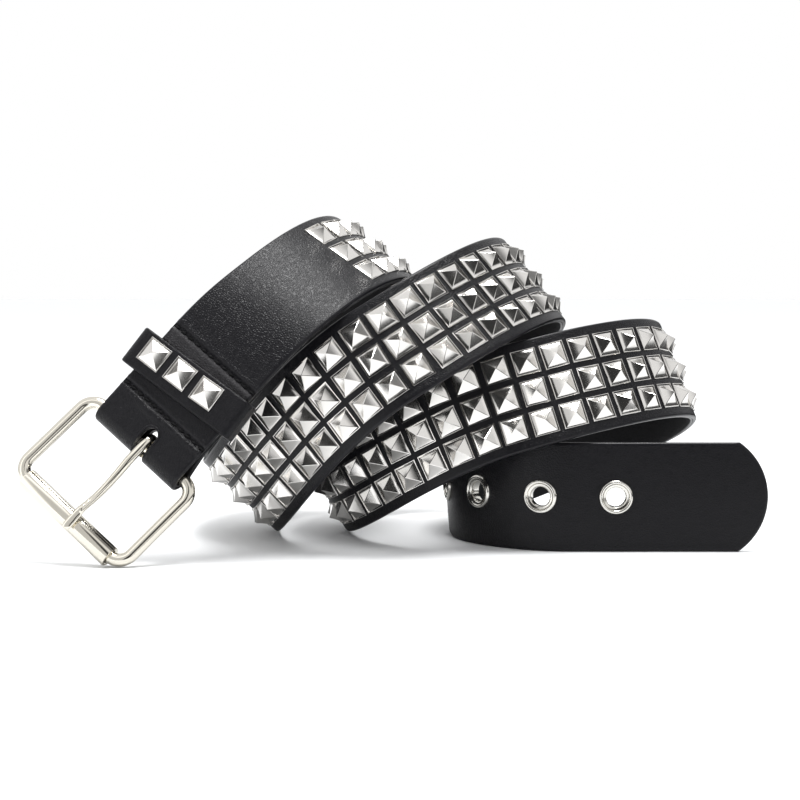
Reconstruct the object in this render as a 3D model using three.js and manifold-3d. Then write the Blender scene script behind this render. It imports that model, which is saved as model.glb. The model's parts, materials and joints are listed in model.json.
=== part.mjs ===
// A studded leather belt that stands on its lower edge: the tail lies straight in front, three loose
// coils lean over towards the buckle, and the buckle's lower corner rests on the floor.
// Lengths are millimetres, +Z is up and the floor is Z = 0. The origin is under the middle of the whole.

import * as THREE from "three";
import { mergeVertices } from "three/addons/utils/BufferGeometryUtils.js";
import Module from "manifold-3d";

// Strap
const strapWidth = 38;
const strapThickness = 2.4;
const tipRadius = 23;
const tailLength = 183;
const coilStudColumns = [28, 28];

// Coil, whose length, depth and height the route's shares are measured in
const coilLength = 200;
const coilDepth = 120;
const coilHeight = 110;
const handleShare = 0.39;

// Studs, three rows of square pyramids
const studBase = 9;
const studHeight = 3.6;
const studPitch = 10.6;
const studRowPitch = 11;
const studRows = 3;
const firstStudAt = 208.4;
const plainEndLength = 101;
const studFlatMargin = 0.2;

// Eyelets in the tail
const eyeletCount = 5;
const firstEyeletAt = 52.8;
const eyeletPitch = 26;
const eyeletRadius = 6;
const eyeletBore = 3.4;
const eyeletWall = 1;
const eyeletRim = 1;

// Buckle
const barRadius = 2.2;
const frameSideGap = 3.7;
const barToRoller = 35.2;
const frameSwing = 10;
const rollerCornerRadius = 5.4;
const rollerLength = 40.6;
const rollerRadius = 3.7;
const rollerSeam = 0.4;
const prongOffset = -1.4;
const prongTurn = 3;
const prongWidth = 3;
const prongThickness = 2.2;
const prongEyeWall = 1.7;
const prongOverhang = 3.6;
const prongTipThickness = 1.5;
const prongTipLength = 8.5;
const slotWidth = 5.4;
const slotReach = 6.4;

// Fold round the bar and its keeper loop
const foldBackLength = 39.5;
const foldLayDown = 25;
const keeperFromBar = 24.8;
const keeperOffset = 1.4;
const keeperTurn = 5;
const keeperWidth = 14;
const keeperThickness = 2;
const keeperSlack = 2.5;
const keeperCorner = 2.4;
const keeperStudCount = 3;
const keeperStudPitch = 11.5;
const firstKeeperStudAt = 14.4;
const keeperStudShift = -1;
const keeperStudRim = 0.6;

// Fits and fineness
const fitGap = 0.3;
const runningGap = 0.35;
const bond = 0.05;
const studSink = 0.4;
const longestStep = 7;
const tipSteps = 6;
const foldSteps = 4;
const layDownSteps = 5;
const cornerSteps = 4;
const wireSides = 12;
const eyeletSides = 12;
const rollerArcSteps = 10;

// The strap's middle line from the tail's tip to the buckle's bar. x and y are shares of the coil's length
// and depth. lift is the height of the lower edge, as a share of the coil's height. lean turns the top edge
// towards -X and tip turns it towards +Y, in degrees.
const route = [
  { place: "tail tip", x: 0.638, y: 0, lift: 0, lean: 0, tip: 0 },
  { place: "end of the straight tail", x: 0.31, y: 0, lift: 0, lean: 0, tip: 0 },
  { place: "tail turns back", x: 0.147, y: 0.142, lift: 0, lean: 1, tip: 0 },
  { place: "left bend 1", x: 0.09, y: 0.408, lift: 0.001, lean: 5, tip: 0 },
  { place: "foot of back run 1", x: 0.155, y: 0.717, lift: 0.017, lean: 15, tip: 2 },
  { place: "back run 1", x: 0.31, y: 0.858, lift: 0.118, lean: 22, tip: 6 },
  { place: "right bend 1", x: 0.511, y: 0.5, lift: 0.355, lean: 20, tip: 13 },
  { place: "front run 1", x: 0.189, y: -0.009, lift: 0.325, lean: 20.5, tip: 15 },
  { place: "left bend 2", x: -0.143, y: 0.517, lift: 0.015, lean: 30, tip: -4 },
  { place: "back run 2", x: 0.075, y: 0.933, lift: 0.347, lean: 43, tip: 6 },
  { place: "right bend 2", x: 0.244, y: 0.4, lift: 0.708, lean: 37, tip: 13 },
  { place: "front run 2", x: -0.023, y: -0.12, lift: 0.502, lean: 37, tip: 18 },
  { place: "left bend 3", x: -0.293, y: 0.58, lift: 0.0465, lean: 47, tip: -4 },
  { place: "back run 3", x: -0.168, y: 0.905, lift: 0.478, lean: 58, tip: 4 },
  { place: "right bend 3", x: -0.044, y: 0.375, lift: 0.844, lean: 52, tip: 17 },
  { place: "plain front run", x: -0.189, y: -0.07, lift: 0.729, lean: 53, tip: 22 },
  { place: "upper stitch line", x: -0.311, y: -0.167, lift: 0.508, lean: 50, tip: 18 },
  { place: "buckle's bar", x: -0.4335, y: -0.1985, lift: 0.262, lean: 50, tip: 18 },
];

const wasm = await Module();
wasm.setup();

const leather = new THREE.MeshStandardMaterial({ color: 0x1c1c21, roughness: 0.5, metalness: 0 });
const keeperLeather = new THREE.MeshStandardMaterial({ color: 0x202026, roughness: 0.52, metalness: 0 });
const studMetal = new THREE.MeshStandardMaterial({ color: 0xd8d8da, roughness: 0.16, metalness: 1 });
const eyeletMetal = new THREE.MeshStandardMaterial({ color: 0xd2d0cb, roughness: 0.22, metalness: 1 });
const buckleMetal = new THREE.MeshStandardMaterial({ color: 0xcdc8bd, roughness: 0.2, metalness: 1 });

// A manifold-3d solid of a closed geometry.
function solidOf(geometry) {
  const bare = new THREE.BufferGeometry().setAttribute("position", geometry.getAttribute("position").clone());
  if (geometry.index) bare.setIndex(geometry.index.clone());
  const merged = mergeVertices(bare, 1e-4);
  return new wasm.Manifold(
    new wasm.Mesh({
      numProp: 3,
      vertProperties: new Float32Array(merged.attributes.position.array),
      triVerts: new Uint32Array(merged.index.array),
    }),
  );
}

// The flat-shaded geometry of a manifold-3d solid.
function geometryOf(solid) {
  const mesh = solid.getMesh();
  const geometry = new THREE.BufferGeometry()
    .setAttribute("position", new THREE.BufferAttribute(new Float32Array(mesh.vertProperties), 3))
    .setIndex(new THREE.BufferAttribute(new Uint32Array(mesh.triVerts), 1));
  const flat = geometry.toNonIndexed();
  flat.computeVertexNormals();
  return flat;
}

function namedMesh(name, geometry, material) {
  const mesh = new THREE.Mesh(geometry, material);
  mesh.name = name;
  return mesh;
}

// Route
const rows = route.map(({ x, y, lift, lean, tip }) => {
  const up = widthDirection(lean, tip);
  const height = lift * coilHeight + (up.z * strapWidth) / 2;
  return { point: new THREE.Vector3(x * coilLength, y * coilDepth, height), lean, tip };
});

function widthDirection(lean, tip) {
  const a = THREE.MathUtils.degToRad(lean);
  const b = THREE.MathUtils.degToRad(tip);
  return new THREE.Vector3(-Math.sin(a) * Math.cos(b), Math.sin(b), Math.cos(a) * Math.cos(b));
}

// The strap runs straight out of both ends, and between them each row's direction follows the nearer row more.
function directionAt(i) {
  const last = rows.length - 1;
  if (i <= 1) return rows[1].point.clone().sub(rows[0].point).normalize();
  if (i >= last - 1) return rows[last].point.clone().sub(rows[last - 1].point).normalize();
  const before = rows[i].point.clone().sub(rows[i - 1].point);
  const after = rows[i + 1].point.clone().sub(rows[i].point);
  const lengthBefore = before.length();
  const lengthAfter = after.length();
  before.multiplyScalar(lengthAfter / lengthBefore);
  after.multiplyScalar(lengthBefore / lengthAfter);
  return before.add(after).normalize();
}

const spans = rows.slice(0, -1).map((row, i) => {
  const next = rows[i + 1];
  const handle = row.point.distanceTo(next.point) * handleShare;
  const leaving = row.point.clone().addScaledVector(directionAt(i), handle);
  const arriving = next.point.clone().addScaledVector(directionAt(i + 1), -handle);
  return new THREE.CubicBezierCurve3(row.point, leaving, arriving, next.point);
});

const stepsPerSpan = 40;
const lengthTable = [{ s: 0, at: 0 }];
for (let i = 0; i < spans.length; i++) {
  for (let k = 1; k <= stepsPerSpan; k++) {
    const step = spans[i].getPoint(k / stepsPerSpan).distanceTo(spans[i].getPoint((k - 1) / stepsPerSpan));
    lengthTable.push({ s: lengthTable.at(-1).s + step, at: i + k / stepsPerSpan });
  }
}
const routeLength = lengthTable.at(-1).s;

// The strap's middle at a distance s from the tip: along the strap, across it to its top edge, and outwards.
function frameAt(s) {
  const wanted = Math.min(Math.max(s, 0), routeLength);
  let k = 1;
  while (k < lengthTable.length - 1 && lengthTable[k].s < wanted) k++;
  const low = lengthTable[k - 1];
  const high = lengthTable[k];
  const at = THREE.MathUtils.mapLinear(wanted, low.s, high.s, low.at, high.at);
  const i = Math.min(Math.floor(at), spans.length - 1);
  const t = at - i;
  const turned = t * t * (3 - 2 * t);
  const lean = THREE.MathUtils.lerp(rows[i].lean, rows[i + 1].lean, turned);
  const tip = THREE.MathUtils.lerp(rows[i].tip, rows[i + 1].tip, turned);
  return makeFrame(spans[i].getPoint(t), spans[i].getTangent(t), widthDirection(lean, tip));
}

function makeFrame(origin, along, roughAcross) {
  const across = roughAcross.clone().addScaledVector(along, -roughAcross.dot(along)).normalize();
  return { origin, along, across, out: across.clone().cross(along) };
}

// The flat stretch of strap that carries a stud or an eyelet, between two stations.
function flatAt(s, length) {
  const a = frameAt(s - length / 2);
  const b = frameAt(s + length / 2);
  const origin = a.origin.clone().add(b.origin).multiplyScalar(0.5);
  return makeFrame(origin, b.origin.clone().sub(a.origin).normalize(), a.across.clone().add(b.across));
}

// Local X runs across the strap, Y along it and Z outwards.
function matrixOf(frame, offsetAcross = 0, offsetOut = 0) {
  const place = frame.origin
    .clone()
    .addScaledVector(frame.across, offsetAcross)
    .addScaledVector(frame.out, offsetOut);
  return new THREE.Matrix4().makeBasis(frame.across, frame.along, frame.out).setPosition(place);
}

// Sweeps
// Joins rings of points, each counter-clockwise seen from ahead, into one closed surface.
function loft(rings, closed = false) {
  const sides = rings[0].length;
  const positions = rings.flat().flatMap((p) => [p.x, p.y, p.z]);
  const index = [];
  const joins = closed ? rings.length : rings.length - 1;
  for (let i = 0; i < joins; i++) {
    const here = i * sides;
    const there = ((i + 1) % rings.length) * sides;
    for (let k = 0; k < sides; k++) {
      const next = (k + 1) % sides;
      index.push(here + k, here + next, there + next, here + k, there + next, there + k);
    }
  }
  if (!closed) {
    const end = (rings.length - 1) * sides;
    for (let k = 1; k < sides - 1; k++) {
      index.push(0, k + 1, k);
      index.push(end, end + k, end + k + 1);
    }
  }
  return new THREE.BufferGeometry()
    .setAttribute("position", new THREE.Float32BufferAttribute(positions, 3))
    .setIndex(index);
}

// A ring has a point on the middle of each face, so that a twisted stretch stays true under the studs.
function strapRing({ origin, across, out }, halfWidth = strapWidth / 2) {
  const point = (w, n) => origin.clone().addScaledVector(across, w).addScaledVector(out, n);
  const h = strapThickness / 2;
  const innerFace = [point(halfWidth, -h), point(0, -h), point(-halfWidth, -h)];
  const outerFace = [point(-halfWidth, h), point(0, h), point(halfWidth, h)];
  return [...innerFace, ...outerFace];
}

// Studs and eyelets along the strap
const studsEnd = routeLength - plainEndLength;
const studColumns = Math.floor((studsEnd - firstStudAt) / studPitch) + 1;
const studPlaces = Array.from({ length: studColumns }, (_, i) => firstStudAt + i * studPitch);
const eyeletPlaces = Array.from({ length: eyeletCount }, (_, i) => firstEyeletAt + i * eyeletPitch);
const studFlat = studBase + 2 * studFlatMargin;
const eyeletFlat = 2 * (eyeletRadius + fitGap);

// A square pyramid whose faces look along X and Y, with an upright rim under its slopes.
function studGeometry(base, height, rim, sink) {
  const reach = base / Math.SQRT2;
  const foot = rim > 0 ? reach : (reach * (height + sink)) / height;
  const profile = [new THREE.Vector2(0, -sink), new THREE.Vector2(foot, -sink)];
  if (rim > 0) profile.push(new THREE.Vector2(reach, rim));
  profile.push(new THREE.Vector2(0, height));
  return new THREE.LatheGeometry(profile, 4).rotateY(Math.PI / 4).rotateX(Math.PI / 2);
}

function holeCutter(radius, depth) {
  return new THREE.CylinderGeometry(radius, radius, depth, eyeletSides).rotateX(Math.PI / 2);
}

// Buckle end: the bar's middle, behind the strap's last stretch. The bar is straight across the fold.
const frameWidth = strapWidth + 2 * (frameSideGap + 2 * barRadius);
const barCornerRadius = barRadius + frameSideGap - fitGap;
const foldMiddle = barRadius + fitGap + strapThickness / 2;
const routeEnd = frameAt(routeLength);
const barFrame = { ...routeEnd, origin: routeEnd.origin.clone().addScaledVector(routeEnd.out, -foldMiddle) };
const backLayerMiddle = foldMiddle - strapThickness + bond;

function foldFrame(degrees) {
  const a = THREE.MathUtils.degToRad(degrees);
  const out = barFrame.out.clone().multiplyScalar(Math.cos(a)).addScaledVector(barFrame.along, Math.sin(a));
  const origin = barFrame.origin.clone().addScaledVector(out, foldMiddle);
  return { origin, across: barFrame.across, out };
}

function backLayerFrame(y) {
  const origin = barFrame.origin
    .clone()
    .addScaledVector(barFrame.along, y)
    .addScaledVector(barFrame.out, backLayerMiddle);
  return { origin, across: barFrame.across, out: barFrame.out.clone().negate() };
}

// The strap is one rigid thing in four stretches, so that each keeps to its own bend: the plain tail, two
// coils of studs and the buckle's end. A hair's gap parts them, midway between two rows across.
function makeStrap() {
  const cuts = [tailLength];
  let columns = 0;
  for (const more of coilStudColumns) {
    columns += more;
    cuts.push(firstStudAt + (columns - 0.5) * studPitch);
  }
  const names = ["strap_tail", "strap_coil_1", "strap_coil_2", "strap_buckle_end"];
  const ends = [...cuts, Infinity];
  return names.map((name, i) => {
    const inside = (s) => s < ends[i] && (i === 0 || s > ends[i - 1]);
    const start = i === 0 ? 0 : ends[i - 1] + fitGap / 2;
    const end = Math.min(ends[i] - fitGap / 2, routeLength);
    return makeStretch(name, start, end, inside);
  });
}

function makeStretch(name, start, end, inside) {
  const isFirst = start === 0;
  const isLast = end === routeLength;
  const rings = isFirst ? tipRings() : [strapRing(frameAt(start))];
  const flats = [
    ...eyeletPlaces.filter(inside).map((s) => [s - eyeletFlat / 2, s + eyeletFlat / 2]),
    ...studPlaces.filter(inside).map((s) => [s - studFlat / 2, s + studFlat / 2]),
    [end, end],
  ];
  let reached = isFirst ? tipLength : start;
  for (const [from, to] of flats) {
    const steps = Math.ceil((from - reached) / longestStep);
    for (let i = 1; i < steps; i++) rings.push(strapRing(frameAt(reached + ((from - reached) * i) / steps)));
    rings.push(strapRing(frameAt(from)));
    if (to > from) rings.push(strapRing(frameAt(to)));
    reached = to;
  }
  if (isLast) for (let i = 1; i <= foldSteps; i++) rings.push(strapRing(foldFrame((90 * i) / foldSteps)));

  let stretch = solidOf(loft(rings));
  if (isLast) stretch = stretch.add(solidOf(loft(backLayerRings()))).subtract(solidOf(slotCutter()));
  const holes = eyeletPlaces.filter(inside).map((s) => {
    const hole = holeCutter(eyeletBore + eyeletWall + fitGap, strapThickness * 4);
    return solidOf(hole.applyMatrix4(matrixOf(flatAt(s, eyeletFlat))));
  });
  if (holes.length) stretch = stretch.subtract(wasm.Manifold.union(holes));
  const studs = studPlaces.filter(inside).flatMap(makeStudColumn);
  return namedMesh(name, geometryOf(wasm.Manifold.union([stretch, ...studs])), leather);
}

// The round tip, whose width grows with the circle.
const tipAngle = Math.asin(strapWidth / 2 / tipRadius);
const tipLength = tipRadius * (1 - Math.cos(tipAngle));

function tipRings() {
  return Array.from({ length: tipSteps }, (_, i) => {
    const a = (tipAngle * (i + 1)) / tipSteps;
    return strapRing(frameAt(tipRadius * (1 - Math.cos(a))), tipRadius * Math.sin(a));
  });
}

// The fold's inner half round the bar and the back layer that lies on the strap.
function backLayerRings() {
  const rings = [];
  const wrapEnd = 180 + foldLayDown;
  for (let i = 0; i <= layDownSteps; i++) {
    rings.push(strapRing(foldFrame(90 + ((wrapEnd - 90) * i) / layDownSteps)));
  }
  const lay = THREE.MathUtils.degToRad(foldLayDown);
  const rise = backLayerMiddle + foldMiddle * Math.cos(lay);
  const layDownEnd = -foldMiddle * Math.sin(lay) - rise / Math.tan(lay);
  rings.push(strapRing(backLayerFrame(layDownEnd)), strapRing(backLayerFrame(-foldBackLength)));
  return rings;
}

function makeStudColumn(s) {
  const shape = studGeometry(studBase, studHeight, 0, studSink);
  const frame = flatAt(s, studFlat);
  return Array.from({ length: studRows }, (_, row) => {
    const across = (row - (studRows - 1) / 2) * studRowPitch;
    return solidOf(shape.clone().applyMatrix4(matrixOf(frame, across, strapThickness / 2)));
  });
}

// The slot in the fold that the prong's eye stands in, with a round end in the front layer.
function slotCutter() {
  const half = slotWidth / 2;
  const pastFold = foldMiddle + strapThickness;
  const shape = new THREE.Shape();
  shape.moveTo(prongOffset - half, pastFold);
  shape.lineTo(prongOffset - half, half - slotReach);
  shape.absarc(prongOffset, half - slotReach, half, Math.PI, 2 * Math.PI, false);
  shape.lineTo(prongOffset + half, pastFold);
  const depth = 2 * (foldMiddle + strapThickness);
  return new THREE.ExtrudeGeometry(shape, { depth, bevelEnabled: false, curveSegments: 6 })
    .translate(0, 0, -depth / 2)
    .applyMatrix4(matrixOf(barFrame));
}

// An eyelet with a domed rim on both faces of the strap.
function makeEyelet(number, s) {
  const seat = strapThickness / 2 + fitGap;
  const barrel = eyeletBore + eyeletWall;
  const crown = (barrel + eyeletRadius) / 2;
  const half = [
    new THREE.Vector2(barrel, seat),
    new THREE.Vector2(eyeletRadius, seat),
    new THREE.Vector2(crown, seat + eyeletRim),
    new THREE.Vector2(eyeletBore, seat + eyeletRim / 2),
  ];
  const mirrored = half.map((p) => new THREE.Vector2(p.x, -p.y)).reverse();
  const profile = [...mirrored, ...half, mirrored[0]];
  const geometry = new THREE.LatheGeometry(profile, eyeletSides).rotateX(Math.PI / 2);
  const mesh = namedMesh("eyelet_" + number, geometry, eyeletMetal);
  mesh.applyMatrix4(matrixOf(flatAt(s, eyeletFlat)));
  return mesh;
}

// The keeper: a leather loop round both layers of the fold.
function makeKeeper() {
  const front = foldMiddle + strapThickness / 2 + fitGap;
  const back = backLayerMiddle - strapThickness / 2 - fitGap;
  const innerHalf = strapWidth / 2 + keeperSlack;
  const outline = roundedBox(
    new THREE.Shape(),
    innerHalf + keeperThickness,
    back - keeperThickness,
    front + keeperThickness,
    keeperCorner,
  );
  outline.holes.push(roundedBox(new THREE.Path(), innerHalf, back, front, keeperCorner / 2));
  const geometry = new THREE.ExtrudeGeometry(outline, {
    depth: keeperWidth,
    bevelEnabled: false,
    curveSegments: 3,
  })
    .rotateX(Math.PI / 2)
    .translate(0, keeperWidth / 2, 0);
  const mesh = namedMesh("keeper", geometry, keeperLeather);
  return { mesh, face: front + keeperThickness };
}

function roundedBox(path, halfWidth, bottom, top, radius) {
  path.moveTo(halfWidth - radius, bottom);
  path.absarc(halfWidth - radius, bottom + radius, radius, -Math.PI / 2, 0, false);
  path.absarc(halfWidth - radius, top - radius, radius, 0, Math.PI / 2, false);
  path.absarc(radius - halfWidth, top - radius, radius, Math.PI / 2, Math.PI, false);
  path.absarc(radius - halfWidth, bottom + radius, radius, Math.PI, 1.5 * Math.PI, false);
  return path;
}

function makeKeeperStuds(face) {
  return Array.from({ length: keeperStudCount }, (_, i) => {
    const geometry = studGeometry(studBase, studHeight, keeperStudRim, 0);
    const mesh = namedMesh("keeper_stud_" + (i + 1), geometry, studMetal);
    mesh.position.set(firstKeeperStudAt - i * keeperStudPitch, keeperStudShift, face + fitGap);
    return mesh;
  });
}

// The frame: round wire bent to a rectangle, whose first side is the bar.
function makeFrameRing() {
  const halfWidth = frameWidth / 2 - barRadius;
  const corners = [
    { x: halfWidth - rollerCornerRadius, y: barToRoller - rollerCornerRadius, r: rollerCornerRadius, from: 0 },
    { x: rollerCornerRadius - halfWidth, y: barToRoller - rollerCornerRadius, r: rollerCornerRadius, from: 90 },
    { x: barCornerRadius - halfWidth, y: barCornerRadius, r: barCornerRadius, from: 180 },
    { x: halfWidth - barCornerRadius, y: barCornerRadius, r: barCornerRadius, from: 270 },
  ];
  const rings = corners.flatMap(({ x, y, r, from }) =>
    Array.from({ length: cornerSteps + 1 }, (_, i) => {
      const a = THREE.MathUtils.degToRad(from + (90 * i) / cornerSteps);
      const outward = new THREE.Vector3(Math.cos(a), Math.sin(a), 0);
      const middle = new THREE.Vector3(x, y, 0).addScaledVector(outward, r);
      return wireRing(middle, outward);
    }),
  );
  return namedMesh("buckle_frame", loft(rings, true), buckleMetal);
}

function wireRing(middle, outward) {
  return Array.from({ length: wireSides }, (_, k) => {
    const a = (-2 * Math.PI * k) / wireSides;
    return middle
      .clone()
      .addScaledVector(outward, barRadius * Math.cos(a))
      .add(new THREE.Vector3(0, 0, barRadius * Math.sin(a)));
  });
}

// Turns a shape drawn in Y and Z, and extruded, to lie along X with its middle at X = 0.
function alongBar(shape, length, curveSegments) {
  const turn = new THREE.Matrix4().makeBasis(
    new THREE.Vector3(0, 1, 0),
    new THREE.Vector3(0, 0, 1),
    new THREE.Vector3(1, 0, 0),
  );
  return new THREE.ExtrudeGeometry(shape, { depth: length, bevelEnabled: false, curveSegments })
    .translate(0, 0, -length / 2)
    .applyMatrix4(turn);
}

// The roller: sheet metal rolled round the far side of the frame, with its open seam on the front.
function makeRoller() {
  const seamSide = THREE.MathUtils.degToRad(60);
  const half = rollerSeam / 2 / rollerRadius;
  const inner = barRadius + runningGap;
  const innerHalf = rollerSeam / 2 / inner;
  const shape = new THREE.Shape();
  shape.absarc(0, 0, rollerRadius, seamSide + half, seamSide - half + 2 * Math.PI, false);
  shape.absarc(0, 0, inner, seamSide - innerHalf + 2 * Math.PI, seamSide + innerHalf, true);
  const mesh = namedMesh("buckle_roller", alongBar(shape, rollerLength, rollerArcSteps), buckleMetal);
  mesh.position.y = barToRoller;
  return mesh;
}

// The prong: an eye round the bar and a shank that rests on the roller, with a stepped flat tip.
function makeProng() {
  const eyeBore = barRadius + runningGap;
  const eyeOuter = eyeBore + prongEyeWall;
  const onRoller = rollerRadius + fitGap;
  const end = barToRoller + prongOverhang;
  const step = end - prongTipLength;
  const shank = new THREE.Shape();
  shank.moveTo(0, eyeBore);
  shank.lineTo(eyeOuter, (eyeBore + eyeOuter) / 2 - prongThickness / 2);
  shank.lineTo(step, onRoller);
  shank.lineTo(end, onRoller);
  shank.lineTo(end, onRoller + prongTipThickness / 2);
  shank.lineTo(end - prongTipThickness / 2, onRoller + prongTipThickness);
  shank.lineTo(step, onRoller + prongTipThickness);
  shank.lineTo(step - prongThickness / 2, onRoller + prongThickness);
  shank.lineTo(eyeOuter + prongThickness, eyeOuter);
  shank.lineTo(0, eyeOuter);
  const eye = new THREE.Shape().absarc(0, 0, eyeOuter, 0, 2 * Math.PI, false);
  const bore = new THREE.Shape().absarc(0, 0, eyeBore, 0, 2 * Math.PI, false);
  const joined = solidOf(alongBar(eye, prongWidth, wireSides))
    .add(solidOf(alongBar(shank, prongWidth, 1)))
    .subtract(solidOf(alongBar(bore, prongWidth * 2, wireSides)));
  const turn = THREE.MathUtils.degToRad(prongTurn);
  const geometry = geometryOf(joined).rotateZ(turn).translate(prongOffset, 0, 0);
  return namedMesh("buckle_prong", geometry, buckleMetal);
}

// Assembly
const belt = new THREE.Group();
belt.add(...makeStrap());
eyeletPlaces.forEach((s, i) => belt.add(makeEyelet(i + 1, s)));

const buckleEnd = new THREE.Group();
buckleEnd.applyMatrix4(matrixOf(barFrame));
const loop = makeKeeper();
const keeper = new THREE.Group();
keeper.position.set(keeperOffset, -keeperFromBar, 0);
keeper.rotation.z = THREE.MathUtils.degToRad(keeperTurn);
keeper.add(loop.mesh, ...makeKeeperStuds(loop.face));
const buckle = new THREE.Group();
buckle.rotation.x = THREE.MathUtils.degToRad(frameSwing);
buckle.add(makeFrameRing(), makeRoller(), makeProng());
buckleEnd.add(keeper, buckle);
belt.add(buckleEnd);

belt.updateMatrixWorld(true);
const box = new THREE.Box3().setFromObject(belt, true);
belt.position.set(-(box.min.x + box.max.x) / 2, -(box.min.y + box.max.y) / 2, -box.min.z);

export default belt;
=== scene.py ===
# The finished look of a studded leather belt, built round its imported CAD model.
# All lengths are metres in the model's own frame: +Z is up and the floor is Z = 0.

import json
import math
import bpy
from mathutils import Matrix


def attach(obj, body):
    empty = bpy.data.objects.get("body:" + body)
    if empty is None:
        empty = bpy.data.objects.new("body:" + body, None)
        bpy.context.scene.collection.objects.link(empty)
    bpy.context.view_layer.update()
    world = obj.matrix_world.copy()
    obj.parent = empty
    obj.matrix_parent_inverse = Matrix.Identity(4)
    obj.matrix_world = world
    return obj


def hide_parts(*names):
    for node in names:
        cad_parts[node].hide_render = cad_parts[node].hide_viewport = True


bl_info = {
    "name": "Studded belt",
    "version": (1, 0, 0),
    "blender": (4, 5, 0),
    "location": "3D View > Sidebar > Belt",
    "description": "Makes the leather, studs, stitches and metal of a coiled studded belt",
    "category": "Add Mesh",
}

import bmesh
import bpy
from mathutils import Matrix, Vector

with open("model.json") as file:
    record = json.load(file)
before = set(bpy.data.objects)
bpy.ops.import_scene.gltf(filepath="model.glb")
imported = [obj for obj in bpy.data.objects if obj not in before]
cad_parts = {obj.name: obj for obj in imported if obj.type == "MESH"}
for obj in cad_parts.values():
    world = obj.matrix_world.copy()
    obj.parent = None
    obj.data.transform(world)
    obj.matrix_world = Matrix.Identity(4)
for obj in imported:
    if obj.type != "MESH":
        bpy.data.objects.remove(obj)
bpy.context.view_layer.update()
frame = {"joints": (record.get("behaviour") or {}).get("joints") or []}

BELT_BODY = "belt"
STRAP_NODES = ("strap_tail", "strap_coil_1", "strap_coil_2", "strap_buckle_end")

# The strap's middle line from the tail's tip to the buckle's bar, the same rows as in the solid model.
# x and y are shares of the coil's length and depth. lift is the lower edge's height as a share of the
# coil's height. lean turns the top edge towards -X and tip turns it towards +Y, in degrees.
ROUTE = [
    {"place": "tail tip", "x": 0.638, "y": 0, "lift": 0, "lean": 0, "tip": 0},
    {"place": "end of the straight tail", "x": 0.31, "y": 0, "lift": 0, "lean": 0, "tip": 0},
    {"place": "tail turns back", "x": 0.147, "y": 0.142, "lift": 0, "lean": 1, "tip": 0},
    {"place": "left bend 1", "x": 0.09, "y": 0.408, "lift": 0.001, "lean": 5, "tip": 0},
    {"place": "foot of back run 1", "x": 0.155, "y": 0.717, "lift": 0.017, "lean": 15, "tip": 2},
    {"place": "back run 1", "x": 0.31, "y": 0.858, "lift": 0.118, "lean": 22, "tip": 6},
    {"place": "right bend 1", "x": 0.511, "y": 0.5, "lift": 0.355, "lean": 20, "tip": 13},
    {"place": "front run 1", "x": 0.189, "y": -0.009, "lift": 0.325, "lean": 20.5, "tip": 15},
    {"place": "left bend 2", "x": -0.143, "y": 0.517, "lift": 0.015, "lean": 30, "tip": -4},
    {"place": "back run 2", "x": 0.075, "y": 0.933, "lift": 0.347, "lean": 43, "tip": 6},
    {"place": "right bend 2", "x": 0.244, "y": 0.4, "lift": 0.708, "lean": 37, "tip": 13},
    {"place": "front run 2", "x": -0.023, "y": -0.12, "lift": 0.502, "lean": 37, "tip": 18},
    {"place": "left bend 3", "x": -0.293, "y": 0.58, "lift": 0.0465, "lean": 47, "tip": -4},
    {"place": "back run 3", "x": -0.168, "y": 0.905, "lift": 0.478, "lean": 58, "tip": 4},
    {"place": "right bend 3", "x": -0.044, "y": 0.375, "lift": 0.844, "lean": 52, "tip": 17},
    {"place": "plain front run", "x": -0.189, "y": -0.07, "lift": 0.729, "lean": 53, "tip": 22},
    {"place": "upper stitch line", "x": -0.311, "y": -0.167, "lift": 0.508, "lean": 50, "tip": 18},
    {"place": "buckle's bar", "x": -0.4335, "y": -0.1985, "lift": 0.262, "lean": 50, "tip": 18},
]


# Settings
def length(name, description, default):
    return bpy.props.FloatProperty(
        name=name, description=description, default=default, precision=5, unit="LENGTH"
    )


def number(name, description, default):
    return bpy.props.FloatProperty(name=name, description=description, default=default, precision=3)


def count(name, description, default):
    return bpy.props.IntProperty(name=name, description=description, default=default, min=1)


def degrees(name, description, default):
    return bpy.props.FloatProperty(
        name=name, description=description, default=math.radians(default), subtype="ANGLE"
    )


def colour(name, description, default):
    return bpy.props.FloatVectorProperty(
        name=name, description=description, default=default, size=3, min=0, max=1, subtype="COLOR"
    )


class BeltStrapSettings(bpy.types.PropertyGroup):
    width: length("Width", "Width of the strap", 0.038)
    thickness: length("Thickness", "Thickness of both layers together", 0.0024)
    tip_radius: length("Tip radius", "Radius of the tail's round tip", 0.023)
    coil_length: length("Coil length", "Length that the route's x shares count in", 0.2)
    coil_depth: length("Coil depth", "Depth that the route's y shares count in", 0.12)
    coil_height: length("Coil height", "Height that the route's lift shares count in", 0.11)
    handle_share: number("Handle share", "Length of each curve handle as a share of its span", 0.39)
    face_edge: length("Face edge", "Rounding of the outer layer's edge", 0.0009)
    groove_depth: length("Groove depth", "Depth of the line between the two layers", 0.00032)
    ring_step: length("Ring step", "Distance between rings along the strap", 0.0022)
    face_colour: colour("Face colour", "Coated outer face", (0.0052, 0.005, 0.007))
    edge_colour: colour("Edge colour", "Painted edge", (0.009, 0.0088, 0.011))
    lining_colour: colour("Lining colour", "Inner face", (0.0065, 0.0064, 0.0075))
    # Painted highlight: a lighter colour for the strip beside the upper stitches, where light catches
    # the leather.
    highlight_strip_colour: colour("Worn colour", "Skived strip beside the upper stitches", (0.045, 0.043, 0.046))


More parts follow.
